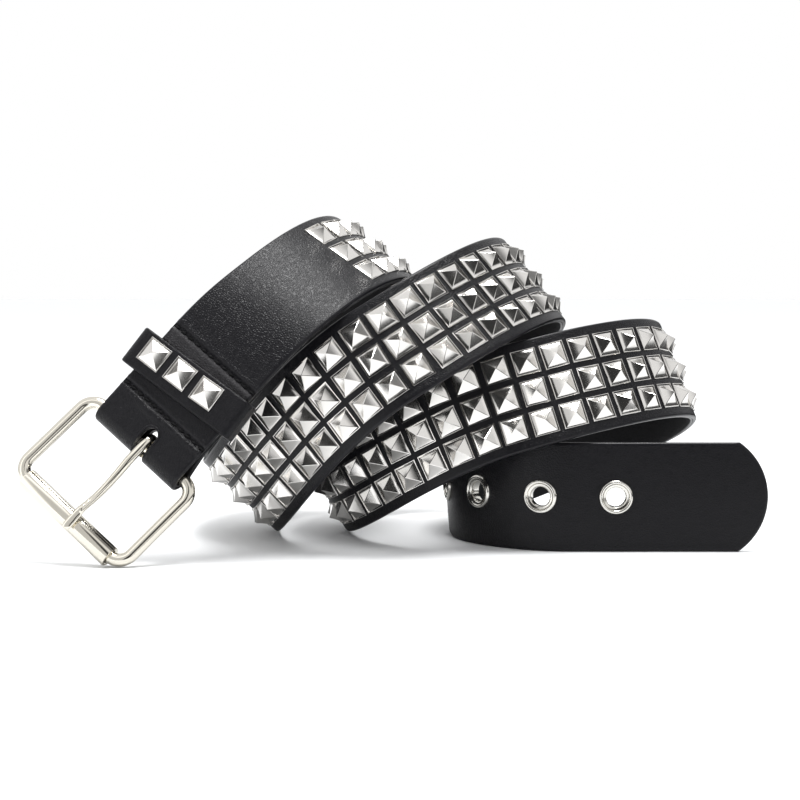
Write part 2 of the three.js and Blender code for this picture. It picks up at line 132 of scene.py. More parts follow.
class BeltStudSettings(bpy.types.PropertyGroup):
    base: length("Base", "Side of a stud's square base", 0.009)
    height: length("Height", "Height of a stud's point", 0.0036)
    rim: length("Rim", "Height of the raised rim", 0.0005)
    flange: length("Flange", "Width of the rim", 0.00034)
    ridge: length("Ridge", "Width of the rounded ridges", 0.00012)
    hollow: number("Hollow", "How hollow the sloping sides are, from 0 to 1", 0.2)
    sink: length("Sink", "How far a stud sits in the leather", 0.0004)
    pitch: length("Pitch", "Distance between studs along the strap", 0.0106)
    row_pitch: length("Row pitch", "Distance between the rows", 0.011)
    rows: count("Rows", "Rows of studs", 3)
    first_at: length("First stud", "Distance of the first stud from the tail's tip", 0.2084)
    plain_end: length("Plain end", "Length without studs before the bar", 0.101)
    flat_margin: length("Flat margin", "Flat leather beside a stud", 0.0002)
    tilt: degrees("Tilt", "Largest random tilt of a stud", 1.6)
    seed: bpy.props.IntProperty(name="Seed", description="Seed of the random tilt", default=7)
    colour: colour("Colour", "Polished nickel of the studs", (0.86, 0.84, 0.81))


class BeltEyeletSettings(bpy.types.PropertyGroup):
    number: count("Number", "Eyelets in the tail", 5)
    first_at: length("First eyelet", "Distance of the first eyelet from the tail's tip", 0.0528)
    pitch: length("Pitch", "Distance between eyelets", 0.026)
    radius: length("Radius", "Outer radius of the rim", 0.006)
    bore: length("Bore", "Radius of the hole", 0.0034)
    wall: length("Wall", "Thickness of the barrel", 0.001)
    rim: length("Rim", "Height of the rolled rim", 0.001)
    segments: count("Segments", "Sides of an eyelet", 48)


class BeltStitchSettings(bpy.types.PropertyGroup):
    thread: length("Thread", "Thickness of the thread", 0.001)
    pitch: length("Pitch", "Distance between stitches", 0.0032)
    stitch: length("Stitch", "Length of one stitch", 0.0027)
    slant: degrees("Slant", "Turn of each stitch out of its line", 14)
    upper_line: length("Upper line", "Distance of the upper line from the bar", 0.0368)
    lower_line: length("Lower line", "Distance of the lower line from the bar", 0.0118)
    dip: length("Dip", "Depth of the leather's dip at a line", 0.0009)
    dip_width: length("Dip width", "Width of the leather's dip at a line", 0.0009)
    lip: length("Lip", "Height of the leather pressed up beside a line", 0.0003)
    swell: length("Swell", "Height of the folded leather's bulge beside the slot", 0.0006)
    swell_along: length("Swell place", "Distance of the bulge from the bar", 0.0088)
    swell_across: length("Swell side", "Distance of the bulge from the strap's middle", 0.0045)
    swell_length: length("Swell length", "Reach of the bulge across the strap", 0.005)
    swell_width: length("Swell width", "Reach of the bulge along the strap", 0.0013)
    # Width of the strip beside the upper stitches that gets the painted highlight.
    highlight_strip_width: length("Worn strip", "Width of the skived strip beside the upper line", 0.006)
    colour: colour("Colour", "Waxed thread", (0.006, 0.006, 0.007))


class BeltKeeperSettings(bpy.types.PropertyGroup):
    from_bar: length("From bar", "Distance of the keeper's middle from the bar", 0.0248)
    offset: length("Offset", "Shift of the keeper across the strap", 0.0014)
    turn: degrees("Turn", "Turn of the keeper on the strap", 5)
    width: length("Width", "Width of the keeper's leather", 0.014)
    thickness: length("Thickness", "Thickness of the keeper's leather", 0.002)
    slack: length("Slack", "Room between the strap's edge and the keeper", 0.0025)
    corner: length("Corner", "Outer radius of the keeper's bends", 0.0024)
    first_stud: length("First stud", "Distance of the first stud from the keeper's middle", 0.0144)
    stud_pitch: length("Stud pitch", "Distance between the keeper's studs", 0.0115)
    stud_shift: length("Stud shift", "Shift of the studs along the strap", -0.001)
    studs: count("Studs", "Studs on the keeper", 3)


class BeltBuckleSettings(bpy.types.PropertyGroup):
    bar_radius: length("Bar radius", "Radius of the frame's wire", 0.0022)
    side_gap: length("Side gap", "Gap between the strap and the frame's sides", 0.0037)
    bar_to_roller: length("Bar to roller", "Distance from the bar to the roller", 0.0352)
    corner_radius: length("Corner radius", "Bend radius of the frame's corners", 0.0055)
    roller_length: length("Roller length", "Length of the roller", 0.0406)
    roller_radius: length("Roller radius", "Outer radius of the roller", 0.0037)
    roller_seam: length("Roller seam", "Width of the roller's open seam", 0.0004)
    seam_side: degrees("Seam side", "Where the seam lies round the roller", 135)
    fit_gap: length("Fit gap", "Gap between fitted pieces", 0.0003)
    running_gap: length("Running gap", "Gap round a turning piece", 0.00035)
    prong_offset: length("Prong offset", "Shift of the prong along the bar", -0.0014)
    prong_turn: degrees("Prong turn", "Turn of the prong in the frame's plane", 3)
    prong_wire: length("Prong wire", "Thickness of the prong's round bar", 0.0031)
    prong_end: length("Prong end", "Reach of the prong from the bar", 0.0388)
    slot_width: length("Slot width", "Width of the prong's slot in the fold", 0.0054)
    slot_reach: length("Slot reach", "Reach of the slot from the bar", 0.0064)
    fold_back: length("Fold back", "Length of the fold's back layer", 0.0395)
    lay_down: degrees("Lay down", "Angle at which the back layer meets the front one", 25)
    colour: colour("Colour", "Warm nickel of the buckle", (0.82, 0.78, 0.69))
    eyelet_colour: colour("Eyelet colour", "Nickel of the eyelets", (0.84, 0.82, 0.77))


class BeltStageSettings(bpy.types.PropertyGroup):
    camera_distance: length("Camera distance", "From the tail's face to the camera", 0.7)
    camera_height: length("Camera height", "Height of the camera", 0.10113)
    camera_side: length("Camera side", "Place of the camera along X", 0.000493)
    camera_pitch: degrees("Camera pitch", "Downward tilt of the camera", 3.95)
    lens: number("Lens", "Focal length in millimetres on a 36 mm sensor", 91.35)
    floor_size: length("Floor size", "Side of the pale floor", 9.0)
    floor_colour: colour("Floor colour", "Pale floor", (0.86, 0.87, 0.88))
    sky: number("Backdrop", "Brightness of the pale backdrop behind the belt", 1.0)
    walls: number("Walls", "Brightness of the white walls in reflections", 0.9)
    dark: number("Dark side", "Brightness of the camera's side in reflections", 0.03)
    dark_turn: degrees("Dark turn", "Turn of the dark side from the camera towards the right", -20)
    dark_width: degrees("Dark width", "Half width of the camera's dark side", 35)
    # The floor's dark part is painted shade that only the belt's reflections see.
    dark_floor: length("Dark floor", "Where the floor's dark part starts in front", 0.16)
    dark_right: length("Dark right", "Where the floor's dark part starts on the right", 0.24)
    dark_top: degrees("Dark top", "Height at which the dark side ends", 50)
    card: number("Left card", "Power of the white card at the front left, in watts", 0.4)
    sun: number("Soft sun", "Strength of the even light on the floor", 1.5)
    sun_angle: degrees("Sun angle", "Width of the even light", 70)
    top_light: number("Top light", "Power of the soft light overhead, in watts", 15)


SETTINGS = {
    "belt_strap": BeltStrapSettings,
    "belt_studs": BeltStudSettings,
    "belt_eyelets": BeltEyeletSettings,
    "belt_stitches": BeltStitchSettings,
    "belt_keeper": BeltKeeperSettings,
    "belt_buckle": BeltBuckleSettings,
    "belt_stage": BeltStageSettings,
}


# The strap's route
class Station:
    """A place on the strap: its middle, the way across to the top edge, and the way out of the face."""

    def __init__(self, origin, along, rough_across):
        self.origin = origin
        self.along = along
        self.across = (rough_across - along * rough_across.dot(along)).normalized()
        self.out = self.across.cross(along)

    def point(self, across, out):
        return self.origin + self.across * across + self.out * out


class Route:
    """The strap's middle line as one smooth curve through the rows of ROUTE."""

    STEPS_PER_SPAN = 40

    def __init__(self, strap):
        self.rows = []
        for row in ROUTE:
            up = width_direction(row["lean"], row["tip"])
            height = row["lift"] * strap.coil_height + up.z * strap.width / 2
            place = Vector((row["x"] * strap.coil_length, row["y"] * strap.coil_depth, height))
            self.rows.append((place, row["lean"], row["tip"]))
        points = [row[0] for row in self.rows]
        self.spans = []
        for i in range(len(points) - 1):
            handle = (points[i + 1] - points[i]).length * strap.handle_share
            leaving = points[i] + self.direction(points, i) * handle
            arriving = points[i + 1] - self.direction(points, i + 1) * handle
            self.spans.append((points[i], leaving, arriving, points[i + 1]))
        self.table = [(0.0, 0.0)]
        for i, span in enumerate(self.spans):
            last = span[0]
            for k in range(1, self.STEPS_PER_SPAN + 1):
                here = bezier_point(span, k / self.STEPS_PER_SPAN)
                travelled = self.table[-1][0] + (here - last).length
                self.table.append((travelled, i + k / self.STEPS_PER_SPAN))
                last = here
        self.length = self.table[-1][0]
        self.shift = Vector((0, 0, 0))

    @staticmethod
    def direction(points, i):
        last = len(points) - 1
        if i <= 1:
            return (points[1] - points[0]).normalized()
        if i >= last - 1:
            return (points[last] - points[last - 1]).normalized()
        before = points[i] - points[i - 1]
        after = points[i + 1] - points[i]
        balance = after.length / before.length
        return (before * balance + after / balance).normalized()

    def at(self, s):
        wanted = min(max(s, 0.0), self.length)
        low, high = 0, len(self.table) - 1
        while high - low > 1:
            middle = (low + high) // 2
            if self.table[middle][0] < wanted:
                low = middle
            else:
                high = middle
        (s0, at0), (s1, at1) = self.table[low], self.table[high]
        at = at0 + (at1 - at0) * (wanted - s0) / (s1 - s0)
        i = min(int(at), len(self.spans) - 1)
        t = at - i
        turned = t * t * (3 - 2 * t)
        _, lean0, tip0 = self.rows[i]
        _, lean1, tip1 = self.rows[i + 1]
        lean = lean0 + (lean1 - lean0) * turned
        tip = tip0 + (tip1 - tip0) * turned
        along = bezier_tangent(self.spans[i], t)
        origin = bezier_point(self.spans[i], t) + self.shift
        return Station(origin, along, width_direction(lean, tip))

    def flat_at(self, s, flat):
        """The flat stretch that carries a stud or an eyelet."""
        a, b = self.at(s - flat / 2), self.at(s + flat / 2)
        middle = (a.origin + b.origin) / 2
        return Station(middle, (b.origin - a.origin).normalized(), a.across + b.across)


def width_direction(lean, tip):
    a, b = math.radians(lean), math.radians(tip)
    return Vector((-math.sin(a) * math.cos(b), math.sin(b), math.cos(a) * math.cos(b)))


def bezier_point(span, t):
    a, b, c, d = span
    u = 1 - t
    return a * u**3 + b * (3 * u * u * t) + c * (3 * u * t * t) + d * t**3


def bezier_tangent(span, t):
    a, b, c, d = span
    u = 1 - t
    return ((b - a) * (u * u) + (c - b) * (2 * u * t) + (d - c) * (t * t)).normalized()


def joint(name):
    return next(j for j in frame["joints"] if j["name"] == name)


def placed_route(scene):
    """The route in the model's frame: the model's bar says how far the whole was moved."""
    route = Route(scene.belt_strap)
    end = route.at(route.length)
    bar = Vector(joint("frame_swing")["pos_m"])
    route.shift = bar - (end.origin - end.out * fold_middle(scene))
    return route


def fold_middle(scene):
    """Radius of the leather's middle round the bar."""
    buckle = scene.belt_buckle
    return buckle.bar_radius + buckle.fit_gap + scene.belt_strap.thickness / 2


def bar_station(scene, route):
    end = route.at(route.length)
    return Station(end.origin - end.out * fold_middle(scene), end.along, end.across)


def station_matrix(station, across=0.0, along=0.0, out=0.0):
    """X runs across the strap, Y along it and Z out of its face."""
    origin = station.point(across, out) + station.along * along
    return Matrix.Translation(origin) @ Matrix(
        (station.across, station.along, station.out)
    ).transposed().to_4x4()


def buckle_matrix():
    """The buckle's own frame at rest: X along the bar, Y to the roller and Z out."""
    bar = Vector(joint("frame_swing")["pos_m"])
    across = Vector(joint("frame_swing")["axis"]).normalized()
    to_roller = Vector(joint("roller_spin")["pos_m"]) - bar
    return station_matrix(Station(bar, to_roller.normalized(), across))


# Mesh helpers
def link_mesh(name, mesh):
    obj = bpy.data.objects.new(name, mesh)
    bpy.context.scene.collection.objects.link(obj)
    return obj


def mesh_from(name, points, faces):
    mesh = bpy.data.meshes.new(name)
    mesh.from_pydata([tuple(p) for p in points], [], faces)
    mesh.update()
    return mesh


def tidy_mesh(mesh, merge=1e-6):
    """Merges doubles, drops collapsed faces and turns every face outwards."""
    bm = bmesh.new()
    bm.from_mesh(mesh)
    bmesh.ops.remove_doubles(bm, verts=bm.verts, dist=merge)
    bmesh.ops.dissolve_degenerate(bm, edges=bm.edges, dist=merge)
    bmesh.ops.recalc_face_normals(bm, faces=bm.faces)
    bm.to_mesh(mesh)
    bm.free()


def shade(mesh, sharp=35):
    mesh.shade_smooth()
    mesh.set_sharp_from_angle(angle=math.radians(sharp))


def ring_faces(rings, sides, closed=False):
    """Quads between rings of points, each ring closed on itself."""
    faces = []
    joins = rings if closed else rings - 1
    for i in range(joins):
        here, there = i * sides, ((i + 1) % rings) * sides
        for k in range(sides):
            n = (k + 1) % sides
            faces.append((here + k, here + n, there + n, there + k))
    return faces


def applied(obj):
    """A plain mesh of the object as its modifiers make it."""
    depsgraph = bpy.context.evaluated_depsgraph_get()
    depsgraph.update()
    mesh = bpy.data.meshes.new_from_object(
        obj.evaluated_get(depsgraph), preserve_all_data_layers=True, depsgraph=depsgraph
    )
    return mesh


def replace_mesh(obj, mesh, name):
    old = obj.data
    obj.modifiers.clear()
    obj.data = mesh
    mesh.name = name
    if old.users == 0:
        bpy.data.meshes.remove(old)


def drop(obj):
    data = obj.data
    bpy.data.objects.remove(obj)
    if data.users == 0:
        bpy.data.meshes.remove(data)


# Node helpers
def add_node(tree, kind, inputs=None, **settings):
    node = tree.nodes.new(kind)
    for key, value in settings.items():
        setattr(node, key, value)
    for key, value in (inputs or {}).items():
        socket = node.inputs[key]
        if isinstance(value, bpy.types.NodeSocket):
            tree.links.new(value, socket)
        else:
            socket.default_value = value
    return node


def math_node(tree, operation, a, b=0.0, clamp=False):
    node = add_node(tree, "ShaderNodeMath", {0: a, 1: b}, operation=operation, use_clamp=clamp)
    return node.outputs[0]


def new_group(name, kind, inputs, outputs):
    """A node tree with named sockets, and its input and output nodes."""
    tree = bpy.data.node_groups.new(name, kind)
    for label, socket_type, default in inputs:
        socket = tree.interface.new_socket(label, in_out="INPUT", socket_type=socket_type)
        if default is not None:
            socket.default_value = default
    for label, socket_type in outputs:
        tree.interface.new_socket(label, in_out="OUTPUT", socket_type=socket_type)
    return tree, tree.nodes.new("NodeGroupInput"), tree.nodes.new("NodeGroupOutput")


def node_modifier(obj, tree, values):
    """Adds the tree to the object and sets its named inputs."""
    modifier = obj.modifiers.new(tree.name, "NODES")
    modifier.node_group = tree
    names = {
        item.name: item.identifier
        for item in tree.interface.items_tree
        if item.item_type == "SOCKET" and item.in_out == "INPUT"
    }
    for label, value in values.items():
        modifier[names[label]] = value
    return modifier


# Shared shader effects
def leather_grain_group():
    """Fine pebbles, soft creases and a slow change of sheen."""
    name = "Leather grain"
    if name in bpy.data.node_groups:
        return bpy.data.node_groups[name]
    tree, group_in, group_out = new_group(
        name,
        "ShaderNodeTree",
        [
            ("Place", "NodeSocketVector", None),
            ("Pebbles per Metre", "NodeSocketFloat", 1300.0),
            ("Sheen Change", "NodeSocketFloat", 0.1),
        ],
        [("Height", "NodeSocketFloat"), ("Tone", "NodeSocketFloat"), ("Sheen", "NodeSocketFloat")],
    )
    place = group_in.outputs["Place"]
    scale = group_in.outputs["Pebbles per Metre"]
    bend = add_node(tree, "ShaderNodeTexNoise", {"Vector": place, "Scale": 420.0, "Detail": 2.0})
    bent = add_node(
        tree,
        "ShaderNodeVectorMath",
        {0: bend.outputs["Color"], 1: (0.0009, 0.0009, 0.0009), 2: place},
        operation="MULTIPLY_ADD",
    )
    pebbles = add_node(
        tree,
        "ShaderNodeTexVoronoi",
        {"Vector": bent.outputs[0], "Scale": scale, "Randomness": 1.0},
        feature="DISTANCE_TO_EDGE",
    )
    plateau = add_node(
        tree,
        "ShaderNodeMapRange",
        {"Value": pebbles.outputs["Distance"], "From Max": 0.28, "To Max": 1.0},
        interpolation_type="SMOOTHERSTEP",
    )
    creases = add_node(
        tree,
        "ShaderNodeTexNoise",
        {"Vector": place, "Scale": 190.0, "Detail": 5.0, "Roughness": 0.62},
    )
    low = math_node(tree, "MULTIPLY", creases.outputs["Fac"], 0.9)
    grain = math_node(tree, "MULTIPLY", plateau.outputs["Result"], 0.5)
    height = math_node(tree, "ADD", grain, low)
    slow = add_node(
        tree, "ShaderNodeTexNoise", {"Vector": place, "Scale": 26.0, "Detail": 3.0}
    )
    centred = math_node(tree, "SUBTRACT", slow.outputs["Fac"], 0.5)
    sheen = math_node(tree, "MULTIPLY", centred, group_in.outputs["Sheen Change"])
    links = tree.links
    links.new(height, group_out.inputs["Height"])
    links.new(plateau.outputs["Result"], group_out.inputs["Tone"])
    links.new(sheen, group_out.inputs["Sheen"])
    return tree


def metal_wear_group():
    """Hairlines and faint dents of polished plate."""
    name = "Polished plate wear"
    if name in bpy.data.node_groups:
        return bpy.data.node_groups[name]
    tree, group_in, group_out = new_group(
        name,
        "ShaderNodeTree",
        [
            ("Place", "NodeSocketVector", None),
            ("Dents per Metre", "NodeSocketFloat", 220.0),
            ("Roughness", "NodeSocketFloat", 0.14),
            ("Haze", "NodeSocketFloat", 0.1),
        ],
        [("Height", "NodeSocketFloat"), ("Roughness", "NodeSocketFloat")],
    )
    place = group_in.outputs["Place"]
    dents = add_node(
        tree,
        "ShaderNodeTexNoise",
        {"Vector": place, "Scale": group_in.outputs["Dents per Metre"], "Detail": 1.5},
    )
    haze = add_node(
        tree, "ShaderNodeTexNoise", {"Vector": place, "Scale": 900.0, "Detail": 4.0}
    )
    change = math_node(tree, "MULTIPLY", haze.outputs["Fac"], group_in.outputs["Haze"])
    rough = math_node(tree, "ADD", group_in.outputs["Roughness"], change)
    tree.links.new(dents.outputs["Fac"], group_out.inputs["Height"])
    tree.links.new(rough, group_out.inputs["Roughness"])
    return tree


# Materials
def new_material(name):
    material = bpy.data.materials.new(name)
    material.use_nodes = True
    tree = material.node_tree
    shader = tree.nodes["Principled BSDF"]
    place = tree.nodes.new("ShaderNodeTexCoord").outputs["Object"]
    return material, tree, shader, place


def leather_material(name, base, highlight_tone=None, strip=None, roughness=0.32, bump=0.65, pebbles=1300.0):
    """Coated leather. A strip along the UV map's U, where one is given, is rougher with deeper grain
    and gets a lighter colour, a painted highlight.
    """
    if name in bpy.data.materials:
        return bpy.data.materials[name]
    material, tree, shader, place = new_material(name)
    grain = tree.nodes.new("ShaderNodeGroup")
    grain.node_tree = leather_grain_group()
    tree.links.new(place, grain.inputs["Place"])
    grain.inputs["Pebbles per Metre"].default_value = pebbles
    dark = tuple(c * 0.72 for c in base) + (1.0,)
    tone = mix_colour(tree, grain.outputs["Tone"], dark, tuple(base) + (1.0,))
    rough = math_node(tree, "ADD", grain.outputs["Sheen"], roughness)
    depth = 1.0
    if strip:
        uv = tree.nodes.new("ShaderNodeUVMap")
        uv.uv_map = "belt"
        along = add_node(tree, "ShaderNodeSeparateXYZ", {0: uv.outputs[0]}).outputs["X"]
        after = math_node(tree, "GREATER_THAN", along, strip[0])
        before = math_node(tree, "LESS_THAN", along, strip[1])
        mask = math_node(tree, "MULTIPLY", after, before)
        # Painted highlight: noise lifts the strip's colour unevenly towards the lighter tone. The extra
        # roughness and deeper grain below belong to the surface.
        highlight_noise = add_node(
            tree, "ShaderNodeTexNoise", {"Vector": place, "Scale": 1600.0, "Detail": 4.0}
        )
        painted_highlight = math_node(tree, "MULTIPLY", mask, highlight_noise.outputs["Fac"])
        tone = mix_colour(tree, painted_highlight, tone, tuple(highlight_tone) + (1.0,))
        more = math_node(tree, "MULTIPLY", mask, 0.16)
        rough = math_node(tree, "ADD", rough, more)
        depth = math_node(tree, "MULTIPLY_ADD", mask, 1.5)
        depth.node.inputs[2].default_value = 1.0
    height = math_node(tree, "MULTIPLY", grain.outputs["Height"], depth)
    relief = add_node(
        tree, "ShaderNodeBump", {"Height": height, "Strength": bump, "Distance": 0.0002}
    )
    tree.links.new(tone, shader.inputs["Base Color"])
    tree.links.new(rough, shader.inputs["Roughness"])
    tree.links.new(relief.outputs[0], shader.inputs["Normal"])
    shader.inputs["Specular IOR Level"].default_value = 0.25
    return material


def mix_colour(tree, factor, a, b):
    node = tree.nodes.new("ShaderNodeMix")
    node.data_type = "RGBA"
    for socket, value in ((node.inputs[0], factor), (node.inputs[6], a), (node.inputs[7], b)):
        if isinstance(value, bpy.types.NodeSocket):
            tree.links.new(value, socket)
        else:
            socket.default_value = value
    return node.outputs[2]


def metal_material(name, base, roughness=0.1, haze=0.06, dents=220.0, bump=0.25):
    """Polished nickel plate."""
    if name in bpy.data.materials:
        return bpy.data.materials[name]
    material, tree, shader, place = new_material(name)
    wear = tree.nodes.new("ShaderNodeGroup")
    wear.node_tree = metal_wear_group()
    tree.links.new(place, wear.inputs["Place"])
    wear.inputs["Dents per Metre"].default_value = dents
    wear.inputs["Roughness"].default_value = roughness
    wear.inputs["Haze"].default_value = haze
    tint = mix_colour(
        tree, wear.outputs["Height"], tuple(c * 0.93 for c in base) + (1.0,), tuple(base) + (1.0,)
    )
    relief = add_node(
        tree,
        "ShaderNodeBump",
        {"Height": wear.outputs["Height"], "Strength": bump, "Distance": 0.0004},
    )
    tree.links.new(tint, shader.inputs["Base Color"])
    tree.links.new(wear.outputs["Roughness"], shader.inputs["Roughness"])
    tree.links.new(relief.outputs[0], shader.inputs["Normal"])
    shader.inputs["Metallic"].default_value = 1.0
    return material


def thread_material(colour_value):
    """Waxed thread with its twist."""
    name = "waxed_thread"
    if name in bpy.data.materials:
        return bpy.data.materials[name]
    material, tree, shader, place = new_material(name)
    twist = add_node(
        tree,
        "ShaderNodeTexWave",
        {"Vector": place, "Scale": 520.0, "Distortion": 1.5},
        bands_direction="DIAGONAL",
    )
    tone = mix_colour(
        tree,
        twist.outputs["Fac"],
        tuple(c * 0.5 for c in colour_value) + (1.0,),
        tuple(colour_value) + (1.0,),
    )
    relief = add_node(
        tree, "ShaderNodeBump", {"Height": twist.outputs["Fac"], "Strength": 0.5, "Distance": 0.0001}
    )
    tree.links.new(tone, shader.inputs["Base Color"])
    tree.links.new(relief.outputs[0], shader.inputs["Normal"])
    shader.inputs["Roughness"].default_value = 0.6
    shader.inputs["Specular IOR Level"].default_value = 0.2
    return material


def strap_materials(scene):
    strap, stitches = scene.belt_strap, scene.belt_stitches
    line = placed_route(scene).length - stitches.upper_line
    thread_reach = 0.0006
    # The strip beside the upper stitches gets a painted highlight as well as more roughness.
    face = leather_material(
        "coated_leather_face",
        strap.face_colour,
        highlight_tone=strap.highlight_strip_colour,
        strip=(line + thread_reach, line + stitches.highlight_strip_width),
    )
    edge = leather_material("painted_leather_edge", strap.edge_colour, roughness=0.3, bump=0.12)
    lining = leather_material(
        "leather_lining", strap.lining_colour, roughness=0.58, bump=0.4, pebbles=900.0
    )
    return face, edge, lining


# The leather strap
def strap_profile(strap):
    """Half of the section from the middle of the face to the middle of the lining.

    Each point is its inset from the edge, or a share of the face, and its height over the middle."""
    half = strap.thickness / 2
    r = strap.face_edge
    seam, seam_room, tuck = -half * 0.3, 0.00012, 0.00006
    face = [("share", share, half) for share in (0.0, 0.14, 0.28, 0.42, 0.56, 0.7, 0.84, 0.95)]
    steps = 5
    edge = []
    for i in range(steps + 1):
        a = math.radians(90 * i / steps)
        edge.append(("inset", r * (1 - math.sin(a)), half - r * (1 - math.cos(a))))
    edge.append(("inset", tuck, seam + seam_room))
    groove = [("inset", strap.groove_depth, seam)]
    back_r, back_inset, back_lip = 0.00045, 0.00008, 0.00014
    back = [("inset", back_lip, seam - back_lip), ("inset", back_inset, -half + back_r)]
    back_steps = 3
    for i in range(1, back_steps + 1):
        a = math.radians(90 * i / back_steps)
        back.append(
            ("inset", back_inset + back_r * (1 - math.cos(a)), -half + back_r * (1 - math.sin(a)))
        )
    lining = [("share", 0.9, -half), ("share", 0.5, -half), ("share", 0.0, -half)]
    parts = ["face"] * len(face) + ["edge"] * (len(edge) + len(groove) + len(back))
    parts += ["lining"] * len(lining)
    return face + edge + groove + back + lining, parts


def section_points(strap):
    """The whole section as (side, kind, value, height), once round, and what each span shows."""
    half_points, parts = strap_profile(strap)
    around = [(1,) + p for p in half_points]
    around += [(-1,) + p for p in reversed(half_points[1:-1])]
    count_half = len(half_points)
    shown = []
    for k in range(len(around)):
        here = k if k < count_half else 2 * count_half - 2 - k
        there_k = (k + 1) % len(around)
        there = there_k if there_k < count_half else 2 * count_half - 2 - there_k
        near, far = sorted((here, there))
        if parts[near] == "face" and parts[far] in ("face", "edge"):
            shown.append("face")
        elif parts[far] == "lining":
            shown.append("lining")
        else:
            shown.append("edge")
    return around, shown


def strap_rings(scene, route):
    """Rings of points from the tip, along the route, round the bar and back under the strap."""
    strap, buckle, stitches = scene.belt_strap, scene.belt_buckle, scene.belt_stitches
    around, shown = section_points(strap)
    half = strap.width / 2
    rings, places = [], []

    def lines_dip(s):
        from_bar = route.length - s
        height = 0.0
        for line in (stitches.upper_line, stitches.lower_line):
            away = abs(from_bar - line) / stitches.dip_width
            height -= stitches.dip * math.exp(-(away**2))
            height += stitches.lip * math.exp(-((away - 2) ** 2))
        return height

    def swelling(s, across):
        along_share = (route.length - s - stitches.swell_along) / stitches.swell_width
        across_share = (across - stitches.swell_across) / stitches.swell_length
        return stitches.swell * math.exp(-(along_share**2) - across_share**2)

    def add(station_of, s, half_width_of, dip=0.0, u=None):
        ring, place = [], []
        for side, kind, value, height in around:
            inset = value if kind == "inset" else strap.face_edge
            along, reach = half_width_of(s, inset)
            across = side * (reach if kind == "inset" else value * reach)
            station = station_of(along)
            on_face = height > 0 and kind == "share"
            lowered = dip if on_face or height > strap.thickness * 0.3 else 0.0
            if u is None and on_face:
                lowered += swelling(s, across)
            ring.append(station.point(across, height + lowered))
            place.append((u if u is not None else along, across))
        rings.append(ring)
        places.append(place)

    tip = strap.tip_radius
    tip_angle = math.asin(half / tip)
    tip_rings = 22
    for i in range(tip_rings + 1):
        a = tip_angle * i / tip_rings

        def tip_reach(s, inset, a=a):
            return tip - (tip - inset) * math.cos(a), (tip - inset) * math.sin(a)

        add(route.at, 0.0, tip_reach)

    def straight(s, inset):
        return s, half - inset

    start = tip * (1 - math.cos(tip_angle))
    fine_start = route.length - stitches.upper_line - 4 * stitches.dip_width
    for low, high, step in (
        (start, fine_start, strap.ring_step),
        (fine_start, route.length, stitches.dip_width / 2),
    ):
        steps = int((high - low) / step)
        for i in range(1, steps + 1):
            s = low + (high - low) * i / steps
            add(route.at, s, straight, lines_dip(s))

    bar = bar_station(scene, route)
    middle = fold_middle(scene)

    def fold_station(angle):
        out = bar.out * math.cos(angle) + bar.along * math.sin(angle)
        along = bar.along * math.cos(angle) - bar.out * math.sin(angle)
        return Station(bar.origin + out * middle, along, bar.across)

    wrap = math.pi + buckle.lay_down
    fold_rings = 40
    for i in range(1, fold_rings + 1):
        turned = wrap * i / fold_rings
        station = fold_station(turned)
        add(lambda s, station=station: station, 0.0, straight, u=route.length + middle * turned)

    between_layers = 0.00002
    back_middle = middle - strap.thickness - between_layers
    rise = back_middle + middle * math.cos(buckle.lay_down)
    lay_start = -middle * math.sin(buckle.lay_down)
    lay_end = lay_start - rise / math.tan(buckle.lay_down)
    lay_rings, back_rings = 8, 14
    stretches = [
        (lay_start, -middle * math.cos(buckle.lay_down), lay_end, back_middle, lay_rings),
        (lay_end, back_middle, -buckle.fold_back, back_middle, back_rings),
    ]
    travelled = route.length + middle * wrap
    for y0, z0, y1, z1, pieces in stretches:
        step = math.hypot(y1 - y0, z1 - z0) / pieces
        for i in range(1, pieces + 1):
            t = i / pieces
            y, z = y0 + (y1 - y0) * t, z0 + (z1 - z0) * t
            travelled += step
            origin = bar.origin + bar.along * y + bar.out * z
            station = Station(origin, -bar.along, bar.across)
            add(lambda s, station=station: station, 0.0, straight, u=travelled)
    return rings, places, shown


def make_strap_mesh(scene, route):
    rings, places, shown = strap_rings(scene, route)
    sides = len(rings[0])
    points = [p for ring in rings for p in ring]
    flat_places = [p for ring in places for p in ring]
    faces = ring_faces(len(rings), sides)
    parts = shown * (len(rings) - 1)
    last = (len(rings) - 1) * sides
    faces.append(tuple(last + k for k in range(sides)))
    parts.append("edge")
    mesh = mesh_from("belt_leather", points, faces)
    slots = {"face": 0, "edge": 1, "lining": 2}
    uv = mesh.uv_layers.new(name="belt")
    for polygon, part in zip(mesh.polygons, parts):
        polygon.material_index = slots[part]
        for loop in polygon.loop_indices:
            uv.data[loop].uv = flat_places[mesh.loops[loop].vertex_index]
    for material in strap_materials(scene):
        mesh.materials.append(material)
    tidy_mesh(mesh)
    return mesh


def eyelet_stations(scene, route):
    eyelets = scene.belt_eyelets
    flat = 2 * (eyelets.radius + scene.belt_buckle.fit_gap)
    return [
        route.flat_at(eyelets.first_at + i * eyelets.pitch, flat) for i in range(eyelets.number)
    ]


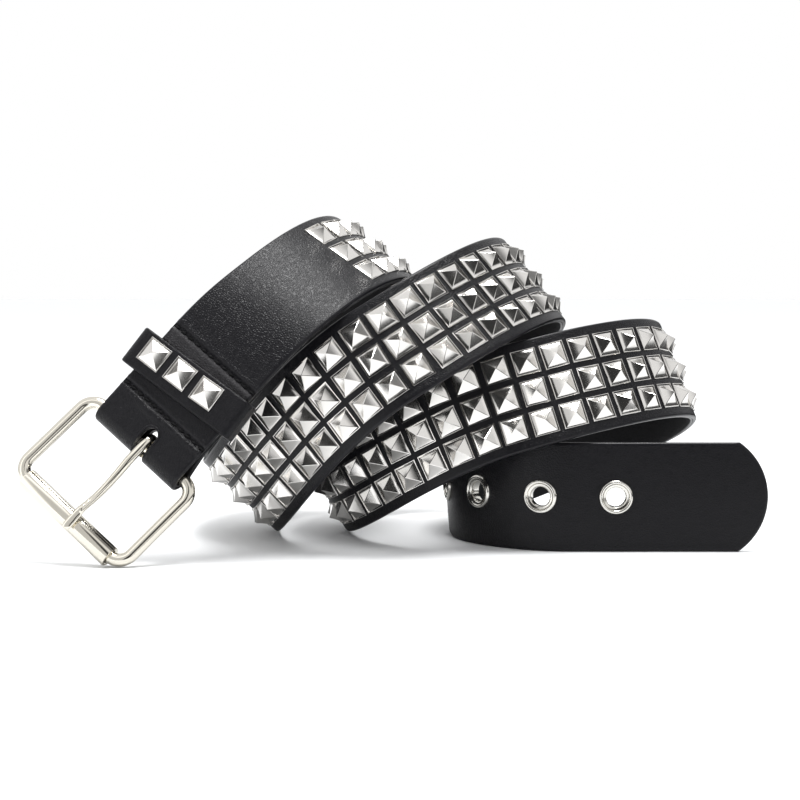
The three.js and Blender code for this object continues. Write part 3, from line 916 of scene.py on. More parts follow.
def hole_cutter(scene, route):
    """One mesh of all that is cut from the strap: the eyelets' holes and the prong's slot."""
    eyelets, buckle, strap = scene.belt_eyelets, scene.belt_buckle, scene.belt_strap
    bm = bmesh.new()
    hole_room = 0.0001
    radius = eyelets.bore + eyelets.wall + hole_room
    for station in eyelet_stations(scene, route):
        bmesh.ops.create_cone(
            bm,
            cap_ends=True,
            segments=40,
            radius1=radius,
            radius2=radius,
            depth=strap.thickness * 4,
            matrix=station_matrix(station),
        )
    bar = bar_station(scene, route)
    half = buckle.slot_width / 2
    past = fold_middle(scene) + strap.thickness
    outline = [(-half, past), (half, past)]
    arc = 20
    for i in range(arc + 1):
        a = -math.pi * i / arc
        outline.append((half * math.cos(a), half - buckle.slot_reach + half * math.sin(a)))
    to_belt = station_matrix(bar, across=buckle.prong_offset)
    low = [bm.verts.new(to_belt @ Vector((x, y, -past))) for x, y in outline]
    high = [bm.verts.new(to_belt @ Vector((x, y, past))) for x, y in outline]
    bm.faces.new(low)
    bm.faces.new(high)
    for k in range(len(outline)):
        n = (k + 1) % len(outline)
        bm.faces.new((low[k], low[n], high[n], high[k]))
    bmesh.ops.recalc_face_normals(bm, faces=bm.faces)
    mesh = bpy.data.meshes.new("belt_holes")
    bm.to_mesh(mesh)
    bm.free()
    return link_mesh("belt_holes", mesh)


class BELT_OT_make_leather(bpy.types.Operator):
    """Makes the leather strap with its two layers, the fold, the holes and the slot"""

    bl_idname = "belt.make_leather"
    bl_label = "Leather strap"

    def execute(self, context):
        scene = context.scene
        route = placed_route(scene)
        strap = link_mesh("belt_leather", make_strap_mesh(scene, route))
        cutter = hole_cutter(scene, route)
        cut = strap.modifiers.new("Holes", "BOOLEAN")
        cut.operation = "DIFFERENCE"
        cut.solver = "EXACT"
        cut.object = cutter
        replace_mesh(strap, applied(strap), "belt_leather")
        drop(cutter)
        shade(strap.data, 30)
        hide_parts(*STRAP_NODES)
        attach(strap, BELT_BODY)
        make_slot_bead(scene, route)
        return {"FINISHED"}


def make_slot_bead(scene, route):
    """The pressed bead round the slot's end in the fold's front layer."""
    buckle, strap = scene.belt_buckle, scene.belt_strap
    bar = bar_station(scene, route)
    from_slot, half_bead, bead_height = 0.0004, 0.00045, 0.0003
    half = buckle.slot_width / 2 + from_slot
    centre_y = buckle.slot_width / 2 - buckle.slot_reach
    face = fold_middle(scene) + strap.thickness / 2
    path = [(half, y * centre_y) for y in (0.0, 0.5)]
    arc = 16
    for i in range(arc + 1):
        a = -math.pi * i / arc
        path.append((half * math.cos(a), centre_y + half * math.sin(a)))
    path += [(-half, y * centre_y) for y in (0.5, 0.0)]
    to_belt = station_matrix(bar, across=buckle.prong_offset)
    stations = []
    for i, (x, y) in enumerate(path):
        before, after = path[max(i - 1, 0)], path[min(i + 1, len(path) - 1)]
        tangent = Vector((after[0] - before[0], after[1] - before[1], 0)).normalized()
        fade = 0.25 if i in (0, len(path) - 1) else 1.0
        place = Vector((x, y, face))
        stations.append((place, tangent, Vector((0, 0, 1)), half_bead * fade, bead_height * fade))
    sides = 10
    mesh = tube_mesh("slot_bead", stations, sides, to_belt)
    mesh.materials.append(bpy.data.materials["coated_leather_face"])
    bead = link_mesh("slot_bead", mesh)
    shade(bead.data, 60)
    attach(bead, BELT_BODY)


def tube_mesh(name, stations, sides, matrix):
    """A closed tube through stations of (place, way, up, half width, half height)."""
    points, faces = [], []
    for place, way, up, half_width, half_height in stations:
        side = way.cross(up).normalized()
        top = side.cross(way).normalized()
        for k in range(sides):
            a = 2 * math.pi * k / sides
            offset = side * (half_width * math.cos(a)) + top * (half_height * math.sin(a))
            points.append(matrix @ (place + offset))
    faces = ring_faces(len(stations), sides)
    last = (len(stations) - 1) * sides
    faces.append(tuple(reversed(range(sides))))
    faces.append(tuple(last + k for k in range(sides)))
    mesh = mesh_from(name, points, faces)
    tidy_mesh(mesh)
    return mesh


# Pieces set on the strap by Geometry Nodes
def set_on_strap_tree():
    """Puts a piece on each point, upright on the strap, with a small random tilt."""
    name = "Set on strap"
    if name in bpy.data.node_groups:
        return bpy.data.node_groups[name]
    tree, group_in, group_out = new_group(
        name,
        "GeometryNodeTree",
        [
            ("Places", "NodeSocketGeometry", None),
            ("Piece", "NodeSocketObject", None),
            ("Largest Tilt", "NodeSocketFloat", 0.0),
            ("Seed", "NodeSocketInt", 0),
            ("Material", "NodeSocketMaterial", None),
        ],
        [("Pieces", "NodeSocketGeometry")],
    )
    out_way = add_node(
        tree, "GeometryNodeInputNamedAttribute", {"Name": "outward"}, data_type="FLOAT_VECTOR"
    )
    across_way = add_node(
        tree, "GeometryNodeInputNamedAttribute", {"Name": "across"}, data_type="FLOAT_VECTOR"
    )
    upright = add_node(
        tree, "FunctionNodeAlignRotationToVector", {"Vector": out_way.outputs["Attribute"]}, axis="Z"
    )
    turned = add_node(
        tree,
        "FunctionNodeAlignRotationToVector",
        {"Rotation": upright.outputs["Rotation"], "Vector": across_way.outputs["Attribute"]},
        axis="X",
        pivot_axis="Z",
    )
    tilt = group_in.outputs["Largest Tilt"]
    least = math_node(tree, "MULTIPLY", tilt, -1.0)
    low = add_node(tree, "ShaderNodeCombineXYZ", {0: least, 1: least, 2: least})
    high = add_node(tree, "ShaderNodeCombineXYZ", {0: tilt, 1: tilt, 2: tilt})
    random_tilt = add_node(
        tree,
        "FunctionNodeRandomValue",
        {"Min": low.outputs[0], "Max": high.outputs[0], "Seed": group_in.outputs["Seed"]},
        data_type="FLOAT_VECTOR",
    )
    as_rotation = add_node(
        tree, "FunctionNodeEulerToRotation", {"Euler": random_tilt.outputs["Value"]}
    )
    tilted = add_node(
        tree,
        "FunctionNodeRotateRotation",
        {"Rotation": turned.outputs["Rotation"], "Rotate By": as_rotation.outputs["Rotation"]},
        rotation_space="LOCAL",
    )
    piece = add_node(
        tree, "GeometryNodeObjectInfo", {"Object": group_in.outputs["Piece"], "As Instance": True}
    )
    placed = add_node(
        tree,
        "GeometryNodeInstanceOnPoints",
        {
            "Points": group_in.outputs["Places"],
            "Instance": piece.outputs["Geometry"],
            "Rotation": tilted.outputs["Rotation"],
        },
    )
    real = add_node(tree, "GeometryNodeRealizeInstances", {"Geometry": placed.outputs["Instances"]})
    coated = add_node(
        tree,
        "GeometryNodeSetMaterial",
        {"Geometry": real.outputs["Geometry"], "Material": group_in.outputs["Material"]},
    )
    tree.links.new(coated.outputs["Geometry"], group_out.inputs["Pieces"])
    return tree


def places_mesh(name, places):
    """Points that carry the ways across and out, for the tree above."""
    mesh = bpy.data.meshes.new(name)
    mesh.from_pydata([tuple(p[0]) for p in places], [], [])
    for label, index in (("across", 1), ("outward", 2)):
        attribute = mesh.attributes.new(label, "FLOAT_VECTOR", "POINT")
        for i, place in enumerate(places):
            attribute.data[i].vector = place[index]
    return mesh


def set_pieces(name, places, template, material, tilt=0.0, seed=0):
    """One plain mesh of the template on every place."""
    obj = link_mesh(name, places_mesh(name + "_places", places))
    node_modifier(
        obj,
        set_on_strap_tree(),
        {"Piece": template, "Largest Tilt": tilt, "Seed": seed, "Material": material},
    )
    mesh = applied(obj)
    for label in ("across", "outward"):
        if label in mesh.attributes:
            mesh.attributes.remove(mesh.attributes[label])
    replace_mesh(obj, mesh, name)
    drop(template)
    return obj


def stud_template(studs):
    """A square pyramid with hollow sides and rounded ridges, inside a raised rim and a groove."""
    half = studs.base / 2
    squares = [
        (half, -studs.sink),
        (half, studs.rim * 0.7),
        (half - studs.flange * 0.3, studs.rim),
        (half - studs.flange * 0.8, studs.rim),
        (half - studs.flange * 1.1, studs.rim * 0.15),
    ]
    foot, foot_height = half - studs.flange * 1.6, studs.rim * 0.3
    first_slope = len(squares)
    for i in range(4):
        q = i / 4
        climb = q * (1 - studs.hollow) + studs.hollow * q * q
        squares.append((foot * (1 - q), foot_height + (studs.height - foot_height) * climb))
    points, faces = [], []
    for reach, height in squares:
        points += [(reach, reach, height), (-reach, reach, height)]
        points += [(-reach, -reach, height), (reach, -reach, height)]
    faces.append((3, 2, 1, 0))
    faces += ring_faces(len(squares), 4)
    last = (len(squares) - 1) * 4
    bm = bmesh.new()
    verts = [bm.verts.new(p) for p in points]
    apex = bm.verts.new((0, 0, studs.height + studs.ridge * 0.3))
    for face in faces:
        bm.faces.new([verts[k] for k in face])
    for k in range(4):
        bm.faces.new((verts[last + k], verts[last + (k + 1) % 4], apex))
    slope = set(verts[first_slope * 4 :]) | {apex}
    ridges = [
        edge
        for edge in bm.edges
        if slope.issuperset(edge.verts)
        and abs(edge.verts[0].co.z - edge.verts[1].co.z) > studs.rim / 2
    ]
    bmesh.ops.bevel(bm, geom=ridges, offset=studs.ridge, segments=1, affect="EDGES", profile=0.5)
    bmesh.ops.remove_doubles(bm, verts=bm.verts, dist=1e-6)
    bmesh.ops.recalc_face_normals(bm, faces=bm.faces)
    mesh = bpy.data.meshes.new("stud_template")
    bm.to_mesh(mesh)
    bm.free()
    return link_mesh("stud_template", mesh)


def stud_metal(scene):
    return metal_material(
        "stud_nickel", scene.belt_studs.colour, roughness=0.12, haze=0.08, dents=160.0, bump=0.12
    )


class BELT_OT_make_studs(bpy.types.Operator):
    """Sets the three rows of pyramid studs along the strap"""

    bl_idname = "belt.make_studs"
    bl_label = "Studs"

    def execute(self, context):
        scene = context.scene
        studs, strap = scene.belt_studs, scene.belt_strap
        route = placed_route(scene)
        columns = int((route.length - studs.plain_end - studs.first_at) / studs.pitch) + 1
        places = []
        for i in range(columns):
            station = route.flat_at(
                studs.first_at + i * studs.pitch, studs.base + 2 * studs.flat_margin
            )
            for row in range(studs.rows):
                across = (row - (studs.rows - 1) / 2) * studs.row_pitch
                place = station.point(across, strap.thickness / 2)
                places.append((place, station.across, station.out))
        field = set_pieces(
            "studs", places, stud_template(studs), stud_metal(scene), studs.tilt, studs.seed
        )
        shade(field.data, 20)
        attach(field, BELT_BODY)
        return {"FINISHED"}


def lathe_mesh(name, outline, segments):
    """Turns an outline of (radius, height) points round Z into a closed ring."""
    points = []
    for k in range(segments):
        a = 2 * math.pi * k / segments
        points += [(r * math.cos(a), r * math.sin(a), z) for r, z in outline]
    mesh = mesh_from(name, points, ring_faces(segments, len(outline), closed=True))
    tidy_mesh(mesh)
    return mesh


def eyelet_outline(scene):
    """A rolled rim on the face, a plain barrel and a flatter rim on the lining."""
    eyelets, buckle, strap = scene.belt_eyelets, scene.belt_buckle, scene.belt_strap
    seat = strap.thickness / 2
    barrel = eyelets.bore + eyelets.wall
    crown = (barrel + eyelets.radius) / 2
    top = seat + buckle.fit_gap + eyelets.rim
    reach = eyelets.radius - crown
    pressed_in, foot = seat - 0.0001, seat + 0.00015
    first_angle, step = -20, 25
    front = [(crown + reach * math.cos(math.radians(first_angle)), pressed_in)]
    for i in range(1, 8):
        a = math.radians(first_angle + step * i)
        front.append((crown + reach * math.cos(a), foot + (top - foot) * math.sin(a)))
    inner = [
        (barrel + 0.00005, seat + 0.0009),
        (eyelets.bore + 0.0004, seat + 0.0008),
        (eyelets.bore + 0.0001, seat + 0.0005),
        (eyelets.bore, seat + 0.0001),
    ]
    flatter = 0.96
    back = [(r, -z * flatter) for r, z in reversed(front[:-1])]
    back_inner = [(eyelets.bore, -seat), (eyelets.bore + 0.0003, -seat - 0.0007)]
    return front + inner + back_inner + back


class BELT_OT_make_eyelets(bpy.types.Operator):
    """Sets the metal eyelets in the tail"""

    bl_idname = "belt.make_eyelets"
    bl_label = "Eyelets"

    def execute(self, context):
        scene = context.scene
        eyelets = scene.belt_eyelets
        route = placed_route(scene)
        template = link_mesh(
            "eyelet_template", lathe_mesh("eyelet", eyelet_outline(scene), eyelets.segments)
        )
        template.data.shade_smooth()
        places = [(s.origin, s.across, s.out) for s in eyelet_stations(scene, route)]
        metal = metal_material(
            "eyelet_nickel", scene.belt_buckle.eyelet_colour, roughness=0.16, haze=0.06, bump=0.15
        )
        rings = set_pieces("eyelets", places, template, metal)
        shade(rings.data, 50)
        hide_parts(*["eyelet_%d" % (i + 1) for i in range(eyelets.number)])
        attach(rings, BELT_BODY)
        return {"FINISHED"}


def stitch_template(stitches):
    """One stitch: a thread that rises from its hole and dives into the next."""
    stations = []
    steps = 8
    for i in range(steps + 1):
        t = i / steps
        x = (t - 0.5) * stitches.stitch
        z = stitches.thread * (0.45 * math.sin(math.pi * t) - 0.2)
        way = Vector((stitches.stitch, 0, stitches.thread * 0.45 * math.pi * math.cos(math.pi * t)))
        swell = 0.55 + 0.45 * math.sin(math.pi * t) ** 0.5 if 0 < t < 1 else 0.4
        radius = stitches.thread / 2 * swell
        stations.append((Vector((x, 0, z)), way.normalized(), Vector((0, 0, 1)), radius, radius))
    turn = Matrix.Rotation(stitches.slant, 4, "Z")
    mesh = tube_mesh("stitch", stations, 8, turn)
    mesh.shade_smooth()
    return link_mesh("stitch_template", mesh)


class BELT_OT_make_stitches(bpy.types.Operator):
    """Sews the two lines of black stitches beside the keeper"""

    bl_idname = "belt.make_stitches"
    bl_label = "Stitches"

    def execute(self, context):
        scene = context.scene
        stitches, strap = scene.belt_stitches, scene.belt_strap
        route = placed_route(scene)
        across_count = int((strap.width - 2 * stitches.thread) / stitches.pitch)
        places = []
        for line in (stitches.upper_line, stitches.lower_line):
            station = route.at(route.length - line)
            face = strap.thickness / 2 - stitches.dip
            for i in range(across_count + 1):
                across = (i - across_count / 2) * stitches.pitch
                places.append((station.point(across, face), station.across, station.out))
        tilt, seed = 0.06, 3
        waxed = thread_material(stitches.colour)
        thread = set_pieces(
            "stitches", places, stitch_template(stitches), waxed, tilt, seed
        )
        shade(thread.data, 60)
        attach(thread, BELT_BODY)
        return {"FINISHED"}


# The keeper loop
def rounded_path(half_width, bottom, top, radius, steps=5):
    """A closed path round a box in X and Z, as (place, outward way)."""
    corners = [
        (half_width - radius, bottom + radius, -90),
        (half_width - radius, top - radius, 0),
        (radius - half_width, top - radius, 90),
        (radius - half_width, bottom + radius, 180),
    ]
    path = []
    hold = radius / 3
    for x, z, start in corners:
        for i in range(steps + 1):
            a = math.radians(start + 90 * i / steps)
            way = Vector((math.cos(a), 0, math.sin(a)))
            place = Vector((x, 0, z)) + way * radius
            tangent = Vector((-way.z, 0, way.x))
            if i == 0:
                path.append((place - tangent * hold, way))
            path.append((place, way))
            if i == steps:
                path.append((place + tangent * hold, way))
    return path


def keeper_section(keeper):
    """Half width and depth under the outer face, once round the keeper's leather."""
    half, thick = keeper.width / 2, keeper.thickness
    r = 0.0007
    seam = thick * 0.52
    quarter = []
    for i in range(5):
        a = math.radians(90 * i / 4)
        quarter.append((half - r * (1 - math.sin(a)), r * (1 - math.cos(a))))
    quarter += [(half - 0.00002, seam - 0.00012), (half - 0.0003, seam)]
    quarter += [(half - 0.00008, seam + 0.00012), (half - 0.00008, thick - 0.0004)]
    quarter += [(half - 0.0004, thick)]
    inside = [(half * 0.5, thick), (0.0, thick)]
    outside = [(0.0, 0.0), (half * 0.55, 0.0), (half * 0.85, 0.0)]
    right = outside + quarter + inside
    left = [(-w, d) for w, d in reversed(right[1:-1])]
    return right + left


class BELT_OT_make_keeper(bpy.types.Operator):
    """Makes the keeper loop round the fold, with its three studs"""

    bl_idname = "belt.make_keeper"
    bl_label = "Keeper"

    def execute(self, context):
        scene = context.scene
        keeper, strap, studs = scene.belt_keeper, scene.belt_strap, scene.belt_studs
        buckle = scene.belt_buckle
        route = placed_route(scene)
        bar = bar_station(scene, route)
        front = fold_middle(scene) + strap.thickness / 2 + buckle.fit_gap + keeper.thickness
        back = fold_middle(scene) - strap.thickness * 1.5 - buckle.fit_gap - keeper.thickness
        half = strap.width / 2 + keeper.slack + keeper.thickness
        turn = Matrix.Rotation(keeper.turn, 4, "Z")
        to_belt = station_matrix(bar, across=keeper.offset, along=-keeper.from_bar) @ turn
        section = keeper_section(keeper)
        points = []
        path = rounded_path(half, back, front, keeper.corner)
        for place, way in path:
            for w, depth in section:
                points.append(to_belt @ (place - way * depth + Vector((0, w, 0))))
        mesh = mesh_from("keeper_loop", points, ring_faces(len(path), len(section), closed=True))
        tidy_mesh(mesh)
        mesh.materials.append(
            leather_material("coated_leather_keeper", strap.face_colour, roughness=0.33, bump=0.6)
        )
        loop = link_mesh("keeper_loop", mesh)
        shade(loop.data, 35)
        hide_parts("keeper")
        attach(loop, BELT_BODY)

        across = (to_belt.to_3x3() @ Vector((1, 0, 0))).normalized()
        out = (to_belt.to_3x3() @ Vector((0, 0, 1))).normalized()
        places = []
        for i in range(keeper.studs):
            x = keeper.first_stud - i * keeper.stud_pitch
            places.append((to_belt @ Vector((x, keeper.stud_shift, front)), across, out))
        seed = 2
        caps = set_pieces(
            "keeper_studs", places, stud_template(studs), stud_metal(scene), studs.tilt, seed
        )
        shade(caps.data, 20)
        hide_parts(*["keeper_stud_%d" % (i + 1) for i in range(keeper.studs)])
        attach(caps, BELT_BODY)
        return {"FINISHED"}


# The buckle
def buckle_metal(scene):
    return metal_material(
        "buckle_nickel", scene.belt_buckle.colour, roughness=0.1, haze=0.05, dents=120.0, bump=0.12
    )


def wire_frame_tree():
    """Round wire bent to a rectangle with rounded corners."""
    name = "Bent wire frame"
    if name in bpy.data.node_groups:
        return bpy.data.node_groups[name]
    tree, group_in, group_out = new_group(
        name,
        "GeometryNodeTree",
        [
            ("Width", "NodeSocketFloat", 0.05),
            ("Depth", "NodeSocketFloat", 0.035),
            ("Corner Radius", "NodeSocketFloat", 0.005),
            ("Wire Radius", "NodeSocketFloat", 0.002),
            ("Corner Steps", "NodeSocketInt", 14),
            ("Wire Sides", "NodeSocketInt", 28),
            ("Material", "NodeSocketMaterial", None),
        ],
        [("Frame", "NodeSocketGeometry")],
    )
    outline = add_node(
        tree,
        "GeometryNodeCurvePrimitiveQuadrilateral",
        {"Width": group_in.outputs["Width"], "Height": group_in.outputs["Depth"]},
        mode="RECTANGLE",
    )
    rounded = add_node(
        tree,
        "GeometryNodeFilletCurve",
        {
            "Curve": outline.outputs["Curve"],
            "Count": group_in.outputs["Corner Steps"],
            "Radius": group_in.outputs["Corner Radius"],
        },
        mode="POLY",
    )
    section = add_node(
        tree,
        "GeometryNodeCurvePrimitiveCircle",
        {"Resolution": group_in.outputs["Wire Sides"], "Radius": group_in.outputs["Wire Radius"]},
        mode="RADIUS",
    )
    wire = add_node(
        tree,
        "GeometryNodeCurveToMesh",
        {"Curve": rounded.outputs["Curve"], "Profile Curve": section.outputs["Curve"]},
    )
    real = add_node(tree, "GeometryNodeRealizeInstances", {"Geometry": wire.outputs["Mesh"]})
    coated = add_node(
        tree,
        "GeometryNodeSetMaterial",
        {"Geometry": real.outputs["Geometry"], "Material": group_in.outputs["Material"]},
    )
    tree.links.new(coated.outputs["Geometry"], group_out.inputs["Frame"])
    return tree


class BELT_OT_make_buckle_frame(bpy.types.Operator):
    """Bends the buckle's frame from round wire"""

    bl_idname = "belt.make_buckle_frame"
    bl_label = "Buckle frame"

    def execute(self, context):
        scene = context.scene
        buckle, strap = scene.belt_buckle, scene.belt_strap
        wire = link_mesh("buckle_wire", bpy.data.meshes.new("buckle_wire"))
        node_modifier(
            wire,
            wire_frame_tree(),
            {
                "Width": strap.width + 2 * (buckle.side_gap + buckle.bar_radius),
                "Depth": buckle.bar_to_roller,
                "Corner Radius": buckle.corner_radius,
                "Wire Radius": buckle.bar_radius,
                "Material": buckle_metal(scene),
            },
        )
        mesh = applied(wire)
        replace_mesh(wire, mesh, "buckle_wire")
        middle = Matrix.Translation(Vector((0, buckle.bar_to_roller / 2, 0)))
        mesh.transform(buckle_matrix() @ middle)
        tidy_mesh(mesh)
        shade(mesh, 60)
        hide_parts("buckle_frame")
        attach(wire, "frame")
        return {"FINISHED"}


class BELT_OT_make_roller(bpy.types.Operator):
    """Rolls the buckle's roller from sheet, with its open seam"""

    bl_idname = "belt.make_roller"
    bl_label = "Roller"

    def execute(self, context):
        scene = context.scene
        buckle = scene.belt_buckle
        inner = buckle.bar_radius + buckle.running_gap
        outer = buckle.roller_radius
        half = buckle.roller_length / 2
        lip = 0.00025
        section = [
            (-half, inner + lip),
            (-half, outer - lip * 1.4),
            (-half + lip * 0.4, outer - lip * 0.4),
            (-half + lip * 1.4, outer),
            (0.0, outer),
            (half - lip * 1.4, outer),
            (half - lip * 0.4, outer - lip * 0.4),
            (half, outer - lip * 1.4),
            (half, inner + lip),
            (half - lip, inner),
            (-half + lip, inner),
        ]
        steps = 64
        gap = buckle.roller_seam / outer
        points = []
        for i in range(steps + 1):
            t = i / steps
            a = buckle.seam_side + gap / 2 + (2 * math.pi - gap) * t
            lean_in = 0.00012 if i in (0, steps) else 0.0
            for x, radius in section:
                r = radius - lean_in if radius > inner + lip else radius
                points.append(Vector((x, r * math.cos(a), r * math.sin(a))))
        sides = len(section)
        faces = ring_faces(steps + 1, sides)
        faces.append(tuple(reversed(range(sides))))
        faces.append(tuple(steps * sides + k for k in range(sides)))
        mesh = mesh_from("roller_sheet", points, faces)
        mesh.transform(
            buckle_matrix() @ Matrix.Translation(Vector((0, buckle.bar_to_roller, 0)))
        )
        tidy_mesh(mesh)
        mesh.materials.append(buckle_metal(scene))
        roller = link_mesh("roller_sheet", mesh)
        shade(mesh, 40)
        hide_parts("buckle_roller")
        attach(roller, "roller")
        return {"FINISHED"}


# The prong from the top of its eye to its tip. y counts from the bar, as a share of the prong's reach,
# and z is the height over the frame's plane, as a share of the roller's radius. wide and thick are
# shares of the wire's thickness.
PRONG = [
    {"y": 0.0, "z": 0.98, "wide": 1.0, "thick": 0.66},
    {"y": 0.1, "z": 1.0, "wide": 1.04, "thick": 0.74},
    {"y": 0.22, "z": 0.94, "wide": 1.02, "thick": 0.9},
    {"y": 0.36, "z": 0.72, "wide": 0.95, "thick": 0.92},
    {"y": 0.5, "z": 0.66, "wide": 0.88, "thick": 0.9},
    {"y": 0.64, "z": 0.86, "wide": 0.84, "thick": 0.86},
    {"y": 0.74, "z": 1.22, "wide": 0.84, "thick": 0.82},
    {"y": 0.79, "z": 1.42, "wide": 0.9, "thick": 0.74},
    {"y": 0.83, "z": 1.4, "wide": 0.98, "thick": 0.52},
    {"y": 0.9, "z": 1.38, "wide": 1.0, "thick": 0.46},
    {"y": 0.97, "z": 1.34, "wide": 0.96, "thick": 0.42},
    {"y": 1.0, "z": 1.28, "wide": 0.86, "thick": 0.3},
]


def smooth_value(rows, key, t):
    """A smooth curve through the rows' values at share t of the rows' count."""
    last = len(rows) - 1
    i = min(int(t * last), last - 1)
    u = t * last - i
    a, b = rows[i][key], rows[i + 1][key]
    before = rows[max(i - 1, 0)][key]
    after = rows[min(i + 2, last)][key]
    m0, m1 = (b - before) / 2, (after - a) / 2
    return (
        (2 * u**3 - 3 * u**2 + 1) * a
        + (u**3 - 2 * u**2 + u) * m0
        + (-2 * u**3 + 3 * u**2) * b
        + (u**3 - u**2) * m1
    )


class BELT_OT_make_prong(bpy.types.Operator):
    """Bends the prong round the bar and flattens its tip on the roller"""

    bl_idname = "belt.make_prong"
    bl_label = "Prong"

    def execute(self, context):
        scene = context.scene
        buckle = scene.belt_buckle
        radius = buckle.prong_wire / 2
        flat = radius * PRONG[0]["thick"]
        eye = buckle.bar_radius + buckle.running_gap + flat
        up = Vector((1, 0, 0))
        stations = []
        eye_steps = 26
        wrap = math.radians(262)
        for i in range(eye_steps):
            a = math.radians(90) + wrap * (1 - i / eye_steps)
            place = Vector((0, eye * math.cos(a), eye * math.sin(a)))
            way = Vector((0, math.sin(a), -math.cos(a)))
            start = 0.72 + 0.28 * min(i / 6, 1.0)
            stations.append((place, way, up, flat * start, radius))
        steps = 60
        places = []
        for i in range(steps + 1):
            t = i / steps
            y = smooth_value(PRONG, "y", t) * buckle.prong_end
            z = smooth_value(PRONG, "z", t) * buckle.roller_radius
            if i == 0:
                z = eye
            places.append((Vector((0, y, z)), t))
        for i, (place, t) in enumerate(places):
            before = places[max(i - 1, 0)][0]
            after = places[min(i + 1, steps)][0]
            way = (after - before).normalized()
            wide = smooth_value(PRONG, "wide", t) * radius
            thick = smooth_value(PRONG, "thick", t) * radius
            stations.append((place, way, up, thick, wide))
        turn = Matrix.Rotation(buckle.prong_turn, 4, "Z")
        to_belt = buckle_matrix() @ Matrix.Translation(Vector((buckle.prong_offset, 0, 0))) @ turn
        mesh = tube_mesh("prong_bar", stations, 20, to_belt)
        mesh.materials.append(buckle_metal(scene))
        prong = link_mesh("prong_bar", mesh)
        shade(mesh, 50)
        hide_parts("buckle_prong")
        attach(prong, "prong")
        return {"FINISHED"}


# The stage
def area_light(name, place, size, power, aim=(0.0, 0.0, 0.05)):
    light = bpy.data.lights.new(name, "AREA")
    light.shape = "RECTANGLE"
    light.size, light.size_y = size
    light.energy = power
    obj = bpy.data.objects.new(name, light)
    bpy.context.scene.collection.objects.link(obj)
    obj.location = place
    obj.rotation_euler = (Vector(aim) - Vector(place)).to_track_quat("-Z", "Y").to_euler()
    return obj


def sun_light(stage):
    """Even soft light from above that lights the floor and isn't seen in reflections."""
    light = bpy.data.lights.new("soft_sun", "SUN")
    light.energy = stage.sun
    light.angle = stage.sun_angle
    obj = bpy.data.objects.new("soft_sun", light)
    bpy.context.scene.collection.objects.link(obj)
    obj.rotation_euler = (math.radians(-12), math.radians(10), 0.0)
    obj.visible_glossy = False


def smooth_step(tree, value, low, high):
    """0 up to low, 1 from high on, and smooth between them. It falls where high is under low."""
    node = add_node(
        tree,
        "ShaderNodeMapRange",
        {"Value": value, "From Min": low, "From Max": high},
        interpolation_type="SMOOTHSTEP",
    )
    return node.outputs["Result"]


def towards(tree, way, turn, rise, half_angle, soft):
    """1 where the way points within the half angle of a turn from the camera's side and a rise."""
    aim = (
        math.sin(turn) * math.cos(rise),
        -math.cos(turn) * math.cos(rise),
        math.sin(rise),
    )
    dot = add_node(tree, "ShaderNodeVectorMath", {0: way, 1: aim}, operation="DOT_PRODUCT")
    return smooth_step(
        tree, dot.outputs["Value"], math.cos(half_angle + soft), math.cos(half_angle - soft)
    )


def dark_side_mask(tree, way, stage):
    """How dark the room is: the camera's side, a gap high on the right and the right's horizon."""
    x, y, z = add_node(tree, "ShaderNodeSeparateXYZ", {0: way}).outputs
    flat = add_node(tree, "ShaderNodeCombineXYZ", {0: x, 1: y, 2: 0.0})
    level = add_node(tree, "ShaderNodeVectorMath", {0: flat.outputs[0]}, operation="NORMALIZE")
    soft = math.radians(7)
    gap_turn, gap_rise, gap_width = math.radians(80), math.radians(56), math.radians(20)
    gap_share = 0.8
    right_turn, right_width = math.radians(128), math.radians(88)
    horizon_top, horizon_full = math.radians(11), math.radians(4)
    side = towards(tree, level.outputs[0], stage.dark_turn, 0.0, stage.dark_width, soft)
    top = smooth_step(
        tree, z, math.sin(stage.dark_top + 1.5 * soft), math.sin(stage.dark_top - 1.5 * soft)
    )
    front = math_node(tree, "MULTIPLY", side, top)
    gap = towards(tree, way, gap_turn, gap_rise, gap_width, soft)
    gap = math_node(tree, "MULTIPLY", gap, gap_share)
    right = towards(tree, level.outputs[0], right_turn, 0.0, right_width, soft)
    low = smooth_step(tree, z, math.sin(horizon_top), math.sin(horizon_full))
    horizon = math_node(tree, "MULTIPLY", right, low)
    darkest = math_node(tree, "MAXIMUM", front, gap)
    return math_node(tree, "MAXIMUM", darkest, horizon)


def make_world(stage):
    """A pale backdrop for the camera. Reflections see white walls and a dark side at the camera."""
    world = bpy.data.worlds.new("Studio")
    bpy.context.scene.world = world
    world.use_nodes = True
    tree = world.node_tree
    background = tree.nodes["Background"]
    way = tree.nodes.new("ShaderNodeTexCoord").outputs["Generated"]
    mask = dark_side_mask(tree, way, stage)
    room = add_node(
        tree, "ShaderNodeMapRange", {"Value": mask, "To Min": stage.walls, "To Max": stage.dark}
    ).outputs["Result"]
    seen = tree.nodes.new("ShaderNodeLightPath").outputs["Is Camera Ray"]
    bright = add_node(
        tree, "ShaderNodeMapRange", {"Value": seen, "To Min": room, "To Max": stage.sky}
    )
    tree.links.new(bright.outputs["Result"], background.inputs["Strength"])
    background.inputs["Color"].default_value = (1.0, 1.0, 1.0, 1.0)


